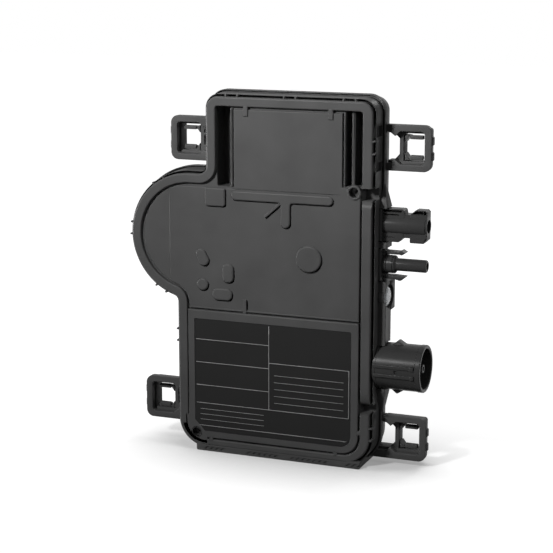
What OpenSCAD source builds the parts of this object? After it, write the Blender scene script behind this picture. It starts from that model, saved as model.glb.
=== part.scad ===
// Micro inverter: a flat sealed housing with two DC connectors, one AC connector,
// a status light and four mounting ears. It stands on its foot, front towards -Y, +Z up.
// The origin is the middle of the foot's front edge, at the height of the surface it stands on.

/* [Body] */
// Overall height, foot to the top of the seam flange
body_h = 212; // [196:1:230]
// Depth from the front rim to the back
body_d = 30.2; // [29.6:0.2:34]
// Width of the rim across the lower section
lower_w = 117.5; // [114:0.5:124]
// Width of the rim across the upper section
upper_w = 98.9; // [96:0.1:102]
// Radius of the round bulge on the left
bulge_r = 36.5; // [34:0.5:38]
// Distance from the top down to the bulge's centre
bulge_drop = 84; // [81:0.5:88]
// Width of the foot
foot_w = 101.5; // [92:0.5:104]
// Wall thickness of both shells
wall_t = 2.4; // [2:0.1:2.8]

/* [Rim and seam] */
// Width of the front rim band
band_w = 5.4; // [4.8:0.1:5.8]
// Reach of the seam flange past the rim
flange_out = 3; // [2.4:0.1:3.4]
// Reach of the side wall past the rim
lip_out = 0.9; // [0.6:0.1:1.2]
// Outer corner radius of the rim at the top
top_r = 7; // [6.8:0.1:9]
// Outer corner radius of the rim at the bottom
low_r = 15.5; // [13:0.5:17]
// Width of the latch ribs on the rim
nub_w = 1; // [0.8:0.1:1.4]

/* [Front face] */
// Depth of the plateau below the rim
plateau_dy = 0.8; // [0.6:0.1:1]
// Width of the groove round the plateau
groove_w = 1; // [0.8:0.1:1.2]
// Depth of the two upper channels
channel_d = 7; // [5:0.5:7.5]
// Width of the upper plate between the channels
plate_w = 65; // [60:0.5:66]
// Width of the label
label_w = 96; // [84:0.5:96.5]
// Height of the label
label_h = 67.4; // [58:0.2:67.8]
// Thickness of the label
label_t = 0.3; // [0.2:0.05:0.4]

/* [Mounting ears] */
// Reach of an ear past the seam flange
ear_len = 26; // [24:0.5:28]
// Height of an ear
ear_h = 25.7; // [24:0.1:28]
// Depth of an ear, front to back
ear_d = 12; // [10:0.5:14]
// Distance from the top down to the lower edge of the upper ears
ear_upper_drop = 42; // [40:0.5:45]
// Height of the lower left ear above the foot
ear_left_z = 12.3; // [10:0.1:16]
// Height of the lower right ear above the foot
ear_right_z = 3.8; // [3:0.1:8]

/* [DC connectors] */
// Height of the DC socket's axis
dc_socket_z = 140; // [138:0.5:142]
// Height of the DC plug's axis
dc_plug_z = 117.5; // [116:0.5:119]
// Radius of the DC plug's barrel
dc_barrel_r = 3.6; // [3.2:0.1:3.9]
// Radial gap between the DC plug's barrel and the socket's bore
dc_mate_gap = 0.15; // [0.1:0.05:0.3]
// Reach of the connectors past the side wall
plug_len = 27.5; // [25:0.5:28]
// Length of a latch arm
latch_len = 14; // [12:0.5:16]
// Thickness of a latch arm
latch_t = 2; // [1.6:0.1:2.2]
// Width of a latch arm
latch_w = 6; // [5:0.5:7]

/* [AC connector] */
// Height of the AC connector's axis
ac_z = 58.8; // [57:0.2:61]
// Outer radius of the AC connector's shell
ac_r = 13.6; // [12.8:0.1:13.8]
// Wall of the AC connector's shell
ac_wall = 2; // [1.6:0.1:2.2]
// Radius of an AC pin
ac_pin_r = 1.6; // [1.2:0.1:1.8]

/* [Status light] */
// Height of the status light's axis
lens_z = 99; // [98:0.5:100]
// Radius of the status light's lens
lens_r = 6.6; // [6:0.1:6.8]

/* [Inner pieces] */
// Thickness of the circuit board
board_t = 1.6; // [1.2:0.1:2]
// Height of the tall parts on the board
tall_h = 13; // [11:0.5:13.5]
// Outer radius of the transformer's core
core_r = 19; // [16:0.5:20]

/* [Hidden] */

$fn = 48;
black = [0.11, 0.11, 0.115];
dark = [0.16, 0.16, 0.165];

// Clearance between pieces that fit together
fit_gap = 0.15;
// Overlap that joins two shapes of one solid
weld = 0.1;
// Reach of a cutter past the face it opens
cut = 1;

// Sides of the rim
right_x = lower_w / 2 - 2.75;
left_low_x = right_x - lower_w;
left_up_x = right_x - upper_w;
bulge_x = left_low_x + 7.4;
bulge_z = body_h - bulge_drop;
top_z = body_h - flange_out;
bottom_z = flange_out;
fillet_r = 5;

// Depths of the shells' steps, front to back
rim_t = 1.6;
rim_groove_w = 1;
rim_groove_d = 0.8;
side_y0 = rim_t + rim_groove_w;
part_y = body_d / 2 + 0.1;
side_y1 = part_y - 5.2;
flange_y0 = part_y - 2.4;
flange_y1 = part_y + 2.8;
face_t = 2.6;
inner_y = plateau_dy + face_t;
back_inner_y = body_d - wall_t;
foot_d = body_d - 3.2;

// Points of an arc about (cx, cz), from angle a0 to a1
function arc(cx, cz, r, a0, a1) =
    let (n = max(2, ceil(abs(a1 - a0) / (r > 20 ? 5 : 10))))
    [for (i = [0:n]) let (a = a0 + (a1 - a0) * i / n) [cx + r * cos(a), cz + r * sin(a)]];

// The housing's outline, grown by g on every side
function outline(g) =
    let (
        xr = right_x + g, xu = left_up_x - g, xl = left_low_x - g,
        zt = top_z + g, zb = bottom_z - g, rt = top_r + g, rb = low_r + g,
        f = fillet_r - g, br = bulge_r + g,
        fx = xl - f,
        fz = bulge_z - sqrt(pow(br + f, 2) - pow(fx - bulge_x, 2)),
        fa = atan2(fz - bulge_z, fx - bulge_x)
    )
    concat(
        arc(xr - rt, zt - rt, rt, 0, 90),
        arc(xu + rt, zt - rt, rt, 90, 180),
        arc(xu - f, bulge_z + br + f, f, 0, -90),
        arc(bulge_x, bulge_z, br, 90, 360 + fa),
        arc(fx, fz, f, fa + 180, 0),
        arc(xl + rb, zb + rb, rb, 180, 270),
        arc(xr - rb, zb + rb, rb, 270, 360)
    );

// A flat shape drawn in X and Z, given depth from y0 to y1
module slab(y0, y1) {
    translate([0, y1, 0]) rotate([90, 0, 0]) linear_extrude(y1 - y0) children();
}

module body_slab(y0, y1, g) {
    slab(y0, y1) polygon(outline(g));
}

// A box from corner a to corner b
module box(a, b) {
    translate(a) cube(b - a);
}

module rect(x0, x1, z0, z1) {
    translate([x0, z0]) square([x1 - x0, z1 - z0]);
}

// A flat shape drawn in Y and Z, given length from x0 to x1
module slab_x(x0, x1) {
    translate([x0, 0, 0]) rotate([90, 0, 90]) linear_extrude(x1 - x0) children();
}

// A flat shape drawn in X and Y, given height from z0 to z1
module slab_z(z0, z1) {
    translate([0, 0, z0]) linear_extrude(z1 - z0) children();
}

// A rectangle whose four corners are round
module round_rect(x0, x1, z0, z1, r) {
    rect(x0 + r, x1 - r, z0, z1);
    rect(x0, x1, z0 + r, z1 - r);
    for (x = [x0 + r, x1 - r], z = [z0 + r, z1 - r]) translate([x, z]) circle(r);
}

// A round bar along Y at (x, z)
module bar_y(x, z, r, y0, y1) {
    translate([x, y1, z]) rotate([90, 0, 0]) cylinder(r = r, h = y1 - y0);
}

// A round bar along X at (y, z)
module bar_x(x0, x1, y, z, r) {
    translate([x0, y, z]) rotate([0, 90, 0]) cylinder(r = r, h = x1 - x0);
}

// A ring along X
module ring_x(x0, x1, y, z, r_out, r_in) {
    difference() {
        bar_x(x0, x1, y, z, r_out);
        bar_x(x0 - cut, x1 + cut, y, z, r_in);
    }
}

// ---- Side openings shared by both shells -------------------------------------------------

axis_y = part_y;
seat_x = right_x + lip_out;
wall_in_x = right_x - wall_t;
dc_spigot_r = 4.6;
dc_base_w = 12.4;
dc_base_h = 19;
dc_base_t = 2;
ac_spigot_r = 10.4;
ac_base_t = 3;
lens_spigot_r = 4;
lens_seat_x = seat_x + 0.6;
tip_x = seat_x + plug_len;

// The way through the side wall for each connector and for the status light
module side_openings() {
    for (z = [dc_socket_z, dc_plug_z]) {
        bar_x(wall_in_x - 6, tip_x, axis_y, z, dc_spigot_r + fit_gap);
        box(
            [seat_x, axis_y - dc_base_w / 2 - fit_gap, z - dc_base_h / 2 - fit_gap],
            [tip_x, axis_y + dc_base_w / 2 + fit_gap, z + dc_base_h / 2 + fit_gap]
        );
    }
    bar_x(wall_in_x - 6, tip_x, axis_y, ac_z, ac_spigot_r + fit_gap);
    bar_x(seat_x, tip_x, axis_y, ac_z, ac_r + 0.4);
    bar_x(wall_in_x - 6, tip_x, axis_y, lens_z, lens_spigot_r + fit_gap);
    bar_x(lens_seat_x, tip_x, axis_y, lens_z, lens_r + fit_gap);
}

// ---- Front cover --------------------------------------------------------------------------

face_right_x = right_x - band_w - 1.6;
well_d = 2.4;
crease_x = bulge_x - 12.4;
crease_drop = 1.3;
plateau_top_z = bulge_z + bulge_r - 7.3;
notch_z0 = plateau_top_z - 2.8;
notch_z1 = plateau_top_z + 4.2;
notch_d = 3.2;
ramp_z0 = 33;
ramp_z1 = 46;
step_z = 85;
frame_x0 = left_low_x + 6;
frame_z0 = 8;
channel_w = 11;
plate_x0 = left_up_x + band_w + channel_w;
plate_x1 = plate_x0 + plate_w;
plate_top_z = top_z - band_w - 1.5;
channel_x0 = left_up_x + band_w;
channel_x1 = right_x - band_w;
channel_top_z = top_z - band_w;
left_channel_z = plateau_top_z + 0.2;
right_channel_z = plateau_top_z + 4.3;
screw_xz = [[right_x - 10.4, plateau_top_z + 1.6], [left_low_x + 10.9, bottom_z + 8]];
screw_head_r = 2.6;
screw_r = 1.5;
boss_r = 4;
screw_head_y = 5;

// Inner edge of the rim, where the plateau's groove starts
module well() {
    difference() {
        polygon(outline(-band_w));
        rect(left_low_x - 40, right_x + 40, -10, step_z + 12);
    }
}

// The raised face inside the groove
module plateau() {
    intersection() {
        polygon(outline(-band_w - groove_w));
        rect(left_low_x - 40, face_right_x, step_z + 11, plateau_top_z);
    }
    rect(plate_x0, plate_x1, plateau_top_z - 1, plate_top_z);
}

// The plateau's left part falls away from a crease
module plateau_slope() {
    slab_z(bulge_z - bulge_r, bulge_z + bulge_r) polygon([
        [crease_x, plateau_dy], [crease_x, -cut], [bulge_x - bulge_r, -cut],
        [bulge_x - bulge_r, plateau_dy + crease_drop]
    ]);
}

// The rim's right band is open at a notch near the top and dips near the bottom
module right_band_cuts() {
    slab_x(face_right_x, right_x + flange_out) {
        difference() {
            translate([-cut, notch_z0 - 3]) square([cut + notch_d, notch_z1 - notch_z0 + 3]);
            translate([3, notch_z0 - 3]) circle(3);
        }
        polygon([[-cut, ramp_z0], [2.4, ramp_z0], [0, ramp_z1], [-cut, ramp_z1]]);
    }
}

// The frame that holds the label, with round lower corners
module label_frame(g) {
    x1 = face_right_x + g;
    z0 = frame_z0 - g;
    r = 10 + g;
    rect(frame_x0 - g, x1, z0 + r, step_z);
    rect(frame_x0 + r, x1 - r, z0, z0 + r + 1);
    for (x = [frame_x0 - g + r, x1 - r]) translate([x, z0 + r]) circle(r);
}

// Raised marks on the plateau: pad, bar with its leg, ovals and discs
module raised_marks() {
    translate([0, plateau_top_z]) {
        translate([-37.9, -5.5]) square([12.6, 10.6], center = true);
        round_rect(-28, 33.4, -6.6, -1.2, 2.6);
        round_rect(2.2, 8, -21, -4.2, 2.8);
        translate([-2.8, -11]) rotate(41) square([12, 1.8], center = true);
    }
    translate([0, step_z]) {
        translate([-45.6, 31.6]) rotate(-62) round_rect(-4.6, 4.6, -3, 3, 2.9);
        round_rect(-33.8, -26.6, 17.2, 28.6, 3.3);
        round_rect(-40, -27.6, 6.6, 13.8, 3.3);
        translate([-46.2, 15.3]) circle(3.4);
        translate([19, 34.6]) circle(7.7);
    }
}

// Small ribs across the rim's groove, in pairs, where the cover is latched
nub_pitch = 7;
nub_top_z = top_z - 25;
nub_low_z = 25;
module nub(x, z, a) {
    translate([x, 0, z]) rotate([0, -a, 0])
        box([-1.4, rim_t - 0.6, -nub_w / 2], [flange_out - 1.6, side_y0 + 0.6, nub_w / 2]);
}
module nubs() {
    for (s = [-0.5, 0.5]) {
        for (x = [-27.5, 7.5, 42.5]) nub(x + s * nub_pitch, top_z, 90);
        for (z = [nub_low_z, nub_top_z]) nub(right_x, z + s * nub_pitch, 0);
        nub(left_up_x, nub_top_z + s * nub_pitch, 180);
        nub(left_low_x, bulge_z - 59 + s * nub_pitch, 180);
        for (a = [122, 176, 240]) {
            t = a + s * nub_pitch / bulge_r * 180 / PI;
            nub(bulge_x + bulge_r * cos(t), bulge_z + bulge_r * sin(t), t);
        }
    }
}

// Recesses in the side wall, in front of the upper right ear's arms
recess_d = 2;
recess_h = 6.4;
module ear_recesses() {
    for (z = [ear_upper_z - 2.6, ear_upper_z + ear_h - recess_h - 1.7]) box(
        [right_x + lip_out - recess_d, side_y0 + 0.8, z],
        [right_x + lip_out + cut, flange_y0 - 0.8, z + recess_h]
    );
}

module front_cover() {
    color(black) difference() {
        union() {
            difference() {
                union() {
                    body_slab(0, rim_t, 0);
                    body_slab(rim_t, side_y0, -rim_groove_d);
                    body_slab(side_y0, side_y1, lip_out);
                    body_slab(side_y1, flange_y0, 0);
                    body_slab(flange_y0, part_y, flange_out);
                }
                // Well round the plateau, and the two deep channels
                slab(-cut, well_d) well();
                slab(-cut, channel_d) rect(channel_x0, plate_x0, left_channel_z, channel_top_z);
                slab(-cut, channel_d) rect(plate_x1, channel_x1, right_channel_z, channel_top_z);
                // Step down from the label frame to the face, and the gap right of and below it
                slab(-cut, plateau_dy) rect(frame_x0, face_right_x, step_z, step_z + 13);
                slab(-cut, rim_t) difference() {
                    label_frame(0.7);
                    label_frame(0);
                    rect(left_low_x, frame_x0 + 12, 0, step_z);
                }
                slab(-cut, rim_t) rect(face_right_x, face_right_x + 0.7, step_z - 1, step_z + 13);
                right_band_cuts();
                // Hollow inside, shallower behind the channels
                difference() {
                    body_slab(inner_y, part_y + cut, -wall_t);
                    slab(0, channel_d + wall_t) {
                        rect(channel_x0 - 9, plate_x0 + 2, left_channel_z - 2, top_z);
                        rect(plate_x1 - 2, right_x, right_channel_z - 8, top_z);
                    }
                    for (p = screw_xz) bar_y(p[0], p[1], boss_r, 0, part_y + cut);
                }
            }
            difference() {
                slab(plateau_dy, inner_y) plateau();
                plateau_slope();
            }
            slab(0, inner_y) raised_marks();
            // Thin rib in the right channel and the two clips over the top gap
            slab(1.5, channel_d + weld) rect(44.4, 45.4, right_channel_z, channel_top_z);
            for (x = [-18.9, 31.7])
                slab(0, inner_y) rect(x - 1.4, x + 1.4, plate_top_z - 3.6, channel_top_z + weld);
            slab(0, inner_y) rect(-20.9, -18.7, step_z - 1, step_z + 8.5);
            slab(0, inner_y) translate(screw_xz[0]) circle(boss_r);
            slab(0, part_y) rect(-foot_w / 2, foot_w / 2, 0, bottom_z + 1);
            nubs();
        }
        // Shallow seat for the label
        slab(-cut, label_t + 0.1) label_shape(0.2);
        // Grip slots along the foot's front
        for (x = [-45:4:45]) translate([x, -cut, 0.8]) rotate([0, 12, 0]) cube([1.6, cut + 0.6, 3]);
        for (p = screw_xz) {
            bar_y(p[0], p[1], screw_head_r + fit_gap, -cut, screw_head_y + 2);
            bar_y(p[0], p[1], screw_r + fit_gap, -cut, part_y + 2);
        }
        ear_recesses();
        gasket_groove(part_y - 1.1, part_y + cut);
        side_openings();
    }
}

// ---- Label --------------------------------------------------------------------------------

label_x = (frame_x0 + face_right_x) / 2;
label_z = (frame_z0 + step_z) / 2 - 0.5;
label_low_r = 6.5;
module label_shape(g) {
    x0 = label_x - label_w / 2 - g;
    x1 = label_x + label_w / 2 + g;
    z1 = label_z + label_h / 2 + g;
    round_rect(x0, x1, label_z - label_h / 2 - g, z1, label_low_r);
    rect(x0, x1, label_z, z1);
}
module label_plate() {
    color(dark) slab(0.1, label_t + 0.1) label_shape(0);
}

// ---- Rear housing -------------------------------------------------------------------------

bay_out = 3;
bay_top_z = dc_socket_z + dc_base_h / 2;
bay_low_z = ac_z - ac_r - 1.2;
panel_d = 0.8;
panel_w = 21;
panel_pitch = 25;
standoff_r = 3;
board_y = part_y + 3.2;
standoff_xz = [
    [left_up_x + 11, top_z - 19], [right_x - 20, 150], [right_x - 16, 14],
    [left_low_x + 25.5, 76], [left_low_x + 31.5, 14]
];

// The flange stands further out behind the connectors
module connector_bay() {
    slab(part_y, flange_y1 + 1.5) polygon([
        [right_x, bay_top_z + 12.5], [right_x + flange_out, bay_top_z + 10.5],
        [right_x + flange_out + bay_out, bay_top_z], [right_x + flange_out + bay_out, bay_low_z],
        [right_x + flange_out, bay_low_z - 13], [right_x, bay_low_z - 15]
    ]);
}

module rear_housing() {
    color(black) difference() {
        union() {
            difference() {
                union() {
                    body_slab(part_y, flange_y1, flange_out);
                    body_slab(flange_y1, body_d - 1.6, lip_out);
                    body_slab(body_d - 1.6, body_d, 0);
                    slab(part_y, foot_d) rect(-foot_w / 2, foot_w / 2, 0, bottom_z + 1);
                    connector_bay();
                    light_hood();
                }
                body_slab(part_y - cut, back_inner_y, -wall_t);
            }
            for (p = screw_xz) bar_y(p[0], p[1], boss_r - fit_gap, part_y, back_inner_y + weld);
            for (p = standoff_xz)
                bar_y(p[0], p[1], standoff_r, board_y + board_t, back_inner_y + weld);
        }
        // Shallow panels between stiffening ribs on the back
        slab(body_d - panel_d, body_d + cut) {
            for (i = [0:3]) translate([left_low_x + 13.5 + i * panel_pitch, 0])
                round_rect(0, panel_w, 14, bulge_z - 32, 3);
            round_rect(left_up_x + 13, right_x - 10, top_z - 37, top_z - 11, 3);
            translate([bulge_x, bulge_z]) circle(bulge_r - 12);
        }
        for (p = screw_xz) bar_y(p[0], p[1], screw_r + 0.02, part_y - cut, back_inner_y - 1);
        for (p = standoff_xz) bar_y(p[0], p[1], 1.1, board_y, back_inner_y - 1);
        gasket_groove(part_y - cut, part_y + 1.1);
        side_openings();
    }
}

// Hood behind the status light
module light_hood() {
    box([right_x, flange_y1 + 0.5, lens_z - 8], [right_x + 10, flange_y1 + 8, lens_z + 8]);
}

// ---- Mounting ears ------------------------------------------------------------------------

ear_y = part_y - 0.2;
ear_upper_z = body_h - ear_upper_drop;
ear_plate_d = 4;
ear_bar = 4;
ear_post_x = 6.6;
ear_post_w = 3;

// One ear, its root at x = 0 and reaching towards +X, its bottom at z = 0
module ear_shape() {
    window_x0 = ear_post_x + ear_post_w;
    window_x1 = ear_len - ear_bar - 2.4;
    window_z0 = ear_bar + 2;
    window_z1 = ear_h - ear_bar - 2.4;
    difference() {
        union() {
            slab(ear_y, ear_y + ear_plate_d) {
                round_rect(2, ear_len, 0, ear_h, 3.8);
                rect(0, 8, 0, ear_h);
            }
            slab(ear_y + ear_plate_d - weld, ear_y + ear_d)
                rect(0, ear_len - 2.2, 1.6, ear_h - 2.2);
        }
        // Front pocket, cut off at an angle on the root side
        slab(ear_y - cut, ear_y + ear_plate_d) polygon([
            [ear_len - ear_bar, ear_bar - 0.4], [ear_len - ear_bar, ear_h - ear_bar + 0.4],
            [8, ear_h - ear_bar + 0.4], [5, ear_h - ear_bar - 2.4],
            [5, ear_bar + 2.4], [8, ear_bar - 0.4]
        ]);
        // Inner window beside the root, and outer window
        slab(ear_y - cut, ear_y + ear_d + cut) polygon([
            [1.2, 5.4], [3.4, 5.4], [ear_post_x, 9], [ear_post_x, ear_h - 8],
            [3.4, ear_h - 5], [1.2, ear_h - 5]
        ]);
        slab(ear_y - cut, ear_y + ear_d + cut) rect(window_x0, window_x1, window_z0, window_z1);
    }
    // Catches that a bracket snaps behind
    for (z = [[window_z0 - weld, window_z0 + 2], [window_z1 - 2, window_z1 + weld]])
        slab(ear_y + ear_plate_d + 1, ear_y + ear_plate_d + 4)
            rect(window_x0 + 2.6, window_x1 + weld, z[0], z[1]);
    // Two low ridges on the outer edge
    for (z = [9, ear_h - 9])
        slab(ear_y + 1.6, ear_y + ear_plate_d) rect(ear_len - 1, ear_len + 0.8, z - 2, z + 2);
}

// An ear on the right at height z, shaped round the flange at its root
module ear_right(z) {
    color(black) difference() {
        translate([right_x + flange_out, 0, z]) union() {
            ear_shape();
            // Root behind the flange
            box([lip_out - flange_out, flange_y1, 1.6], [weld, ear_y + ear_d, 5.4]);
            box([lip_out - flange_out, flange_y1, ear_h - 5], [weld, ear_y + ear_d, ear_h - 2.2]);
        }
        // Room for the connector bay where it runs past the upper ear's foot
        connector_bay();
    }
}
module ear_left(x, z) {
    color(black) translate([x - flange_out, 0, z]) mirror([1, 0, 0]) {
        ear_shape();
        box([lip_out - flange_out, flange_y1, 1.6], [weld, ear_y + ear_d, 5.4]);
        box([lip_out - flange_out, flange_y1, ear_h - 5], [weld, ear_y + ear_d, ear_h - 2.2]);
    }
}
module ear_upper_left() { ear_left(left_up_x, ear_upper_z); }
module ear_upper_right() { ear_right(ear_upper_z); }
module ear_lower_left() { ear_left(left_low_x, ear_left_z); }
module ear_lower_right() { ear_right(ear_right_z); }

// ---- Gasket and cover screws --------------------------------------------------------------

gasket_g0 = -0.6;
gasket_g1 = 0.6;
module gasket_groove(y0, y1) {
    difference() {
        body_slab(y0, y1, gasket_g1 + 0.1);
        body_slab(y0 - cut, y1 + cut, gasket_g0 - 0.1);
    }
}
module housing_gasket() {
    color("dimgray") difference() {
        body_slab(part_y - 1, part_y + 1, gasket_g1);
        body_slab(part_y - 2, part_y + 2, gasket_g0);
        // Open where the connectors' own seals take over
        for (z = [dc_socket_z, dc_plug_z])
            bar_x(wall_in_x, tip_x, axis_y, z, dc_spigot_r + 0.8);
        bar_x(wall_in_x, tip_x, axis_y, ac_z, ac_spigot_r + 0.8);
        bar_x(wall_in_x, tip_x, axis_y, lens_z, lens_spigot_r + 0.8);
    }
}
module cover_screws() {
    color("silver") for (p = screw_xz) difference() {
        union() {
            bar_y(p[0], p[1], screw_head_r, screw_head_y, screw_head_y + 2);
            bar_y(p[0], p[1], screw_r, screw_head_y + 1, back_inner_y - 2);
        }
        // Hexagon socket
        bar6_y(p[0], p[1], 1.3, screw_head_y - cut, screw_head_y + 1.2);
    }
}
module bar6_y(x, z, r, y0, y1) {
    translate([x, y1, z]) rotate([90, 0, 0]) cylinder(r = r, h = y1 - y0, $fn = 6);
}

// ---- DC connectors ------------------------------------------------------------------------

dc_bore_r = dc_barrel_r + dc_mate_gap;
dc_bore_len = 14;
dc_contact_r = 1.9;
dc_tail_x = wall_in_x - 3;
dc_wing_h = 18.6;
dc_wing_d = 7.6;
dc_body_r = 5.6;
dc_notch_x = seat_x + 15.2;
dc_notch_w = 3.4;

// A base plate and spigot that both DC connectors stand on
module dc_base(z) {
    box(
        [seat_x, axis_y - dc_base_w / 2, z - dc_base_h / 2],
        [seat_x + dc_base_t, axis_y + dc_base_w / 2, z + dc_base_h / 2]
    );
    bar_x(wall_in_x - 1, seat_x + weld, axis_y, z, dc_spigot_r);
}

// Groove in a spigot for its seal ring
module dc_seal_groove(z) {
    ring_x(right_x - 1.6, right_x - 0.4, axis_y, z, dc_spigot_r + cut, dc_spigot_r - 0.7);
}

module dc_socket_housing() {
    z = dc_socket_z;
    color(black) difference() {
        union() {
            dc_base(z);
            bar_x(seat_x, tip_x, axis_y, z, dc_body_r);
            // Flat wings above and below the barrel, their outer corners cut off
            slab(axis_y - dc_wing_d / 2, axis_y + dc_wing_d / 2) polygon([
                [seat_x + 1, z - dc_wing_h / 2], [dc_notch_x - 3, z - dc_wing_h / 2],
                [dc_notch_x, z - dc_wing_h / 2 + 2.4], [dc_notch_x, z + dc_wing_h / 2],
                [seat_x + 1, z + dc_wing_h / 2]
            ]);
            slab(axis_y - dc_wing_d / 2, axis_y + dc_wing_d / 2) polygon([
                [dc_notch_x + dc_notch_w, z - dc_wing_h / 2], [tip_x - 2, z - dc_wing_h / 2],
                [tip_x, z - dc_wing_h / 2 + 2], [tip_x, z + dc_wing_h / 2 - 1],
                [tip_x - 1, z + dc_wing_h / 2], [dc_notch_x + dc_notch_w + 2.4, z + dc_wing_h / 2],
                [dc_notch_x + dc_notch_w, z + dc_wing_h / 2 - 2.4]
            ]);
            slab(axis_y - dc_wing_d / 2, axis_y + dc_wing_d / 2)
                rect(dc_notch_x - 1, dc_notch_x + dc_notch_w + 1, z - 7, z + 7);
        }
        bar_x(tip_x - dc_bore_len, tip_x + cut, axis_y, z, dc_bore_r);
        bar_x(dc_tail_x - 2, tip_x, axis_y, z, dc_contact_r + fit_gap);
        // Slot along the wing's front
        box([seat_x + dc_base_t, axis_y - dc_wing_d / 2 - cut, z + 5.9],
            [seat_x + 12, axis_y - dc_wing_d / 2 + 0.8, z + 6.7]);
        dc_seal_groove(z);
    }
}
module dc_socket_contact() {
    color("goldenrod") bar_x(dc_tail_x, tip_x - dc_bore_len, axis_y, dc_socket_z, dc_contact_r);
}

dc_collar_r = 5.1;
dc_collar_x = seat_x + 9.4;
dc_ring_x = dc_collar_x - 2;
latch_root_x = seat_x + dc_base_t + 1.3;
latch_gap = 0.8;
latch_dz = dc_collar_r + latch_gap + latch_t / 2;
latch_root_r = latch_t / 2 + 0.1;

module dc_plug_housing() {
    z = dc_plug_z;
    color(black) difference() {
        union() {
            dc_base(z);
            bar_x(seat_x, dc_collar_x - 1.2, axis_y, z, dc_collar_r);
            translate([dc_collar_x - 1.2 - weld, axis_y, z]) rotate([0, 90, 0])
                cylinder(r1 = dc_collar_r, r2 = dc_barrel_r, h = 1.2 + weld);
            bar_x(seat_x, tip_x - 0.6, axis_y, z, dc_barrel_r);
            translate([tip_x - 0.6 - weld, axis_y, z]) rotate([0, 90, 0])
                cylinder(r1 = dc_barrel_r, r2 = dc_barrel_r - 0.6, h = 0.6 + weld);
            // Knuckles that carry the latch arms
            for (s = [-1, 1])
                box([seat_x + 1, axis_y - latch_w / 2, z + s * latch_dz - latch_t / 2 - 0.9],
                    [latch_root_x, axis_y + latch_w / 2, z + s * latch_dz + latch_t / 2 + 0.9]);
        }
        for (s = [-1, 1]) bar_y(latch_root_x, z + s * latch_dz, latch_root_r + fit_gap,
            axis_y - latch_w / 2 - cut, axis_y + latch_w / 2 + cut);
        bar_x(dc_tail_x - 2, tip_x + cut, axis_y, z, dc_contact_r + fit_gap);
        // Groove that sets off the collar's ring
        ring_x(dc_ring_x, dc_ring_x + 0.4, axis_y, z, dc_collar_r + cut, dc_collar_r - 0.4);
        dc_seal_groove(z);
    }
}
module dc_plug_contact() {
    color("goldenrod") difference() {
        bar_x(dc_tail_x, tip_x - 2, axis_y, dc_plug_z, dc_contact_r);
        bar_x(tip_x - 14, tip_x, axis_y, dc_plug_z, 1.1);
    }
}

// A latch arm above the axis: round root, straight blade, barb and a pointed tip
module latch_arm() {
    translate([latch_root_x, axis_y, 0]) rotate([90, 0, 0])
        translate([0, 0, -latch_w / 2]) {
            cylinder(r = latch_root_r, h = latch_w);
            linear_extrude(latch_w) polygon([
                [0, -latch_t / 2], [latch_len - 3, -latch_t / 2], [latch_len, latch_t * 0.1],
                [latch_len - 2.8, latch_t / 2 + 1.1], [latch_len - 5, latch_t / 2 + 1.1],
                [latch_len - 6.5, latch_t / 2], [0, latch_t / 2]
            ]);
        }
}
module dc_latch_upper() {
    color(dark) translate([0, 0, dc_plug_z + latch_dz]) latch_arm();
}
module dc_latch_lower() {
    color(dark) translate([0, 0, dc_plug_z - latch_dz]) mirror([0, 0, 1]) latch_arm();
}
module dc_seals() {
    color("dimgray") for (z = [dc_socket_z, dc_plug_z])
        ring_x(right_x - 1.5, right_x - 0.5, axis_y, z, dc_spigot_r + 0.1, dc_spigot_r - 0.65);
}

// ---- AC connector -------------------------------------------------------------------------

ac_band_d = 0.25;
ac_carrier_r = 8.2;
ac_pin_count = 3;
ac_pin_circle_r = 5;
ac_pin_a0 = 180;
ac_carrier_x = tip_x - 8;
ac_post_r = 2.3;

module ac_connector_shell() {
    color(black) difference() {
        union() {
            bar_x(seat_x, tip_x, axis_y, ac_z, ac_r - ac_band_d);
            bar_x(seat_x, seat_x + 1.6, axis_y, ac_z, ac_r);
            bar_x(tip_x - 3.2, tip_x, axis_y, ac_z, ac_r);
            bar_x(wall_in_x - 1, seat_x + weld, axis_y, ac_z, ac_spigot_r);
            // Latch bumps above and below
            for (s = [-1, 1]) slab(axis_y - 3, axis_y + 3) polygon([
                [seat_x + 9, ac_z + s * (ac_r - 0.6)], [seat_x + 11.6, ac_z + s * (ac_r + 1.7)],
                [seat_x + 15.6, ac_z + s * (ac_r - 0.6)]
            ]);
            // Two guide rails along the front
            for (s = [-1, 1])
                box([seat_x, axis_y - ac_r - 0.5, ac_z + s * 2.6 - 1.3],
                    [seat_x + 24, axis_y - ac_r + 1, ac_z + s * 2.6 + 1.3]);
        }
        bar_x(seat_x + ac_base_t, tip_x + cut, axis_y, ac_z, ac_r - ac_wall);
        bar_x(wall_in_x - 2, tip_x, axis_y, ac_z, ac_carrier_r + fit_gap);
        ring_x(right_x - 1.8, right_x - 0.4, axis_y, ac_z, ac_spigot_r + cut, ac_spigot_r - 0.9);
        // Slot between the rails
        box([seat_x + 12.6, axis_y - ac_r - cut, ac_z - 0.9],
            [seat_x + 14.4, axis_y - ac_r + 0.9, ac_z + 0.9]);
    }
}
module ac_pin_places() {
    for (i = [0:ac_pin_count - 1]) {
        a = ac_pin_a0 + i * 360 / ac_pin_count;
        translate([0, ac_pin_circle_r * cos(a), ac_pin_circle_r * sin(a)]) children();
    }
}
module ac_pin_carrier() {
    color(dark) difference() {
        bar_x(wall_in_x - 1, ac_carrier_x, axis_y, ac_z, ac_carrier_r);
        ac_pin_places() bar_x(wall_in_x - 2, tip_x, axis_y, ac_z, ac_pin_r + fit_gap / 2);
    }
}
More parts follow.
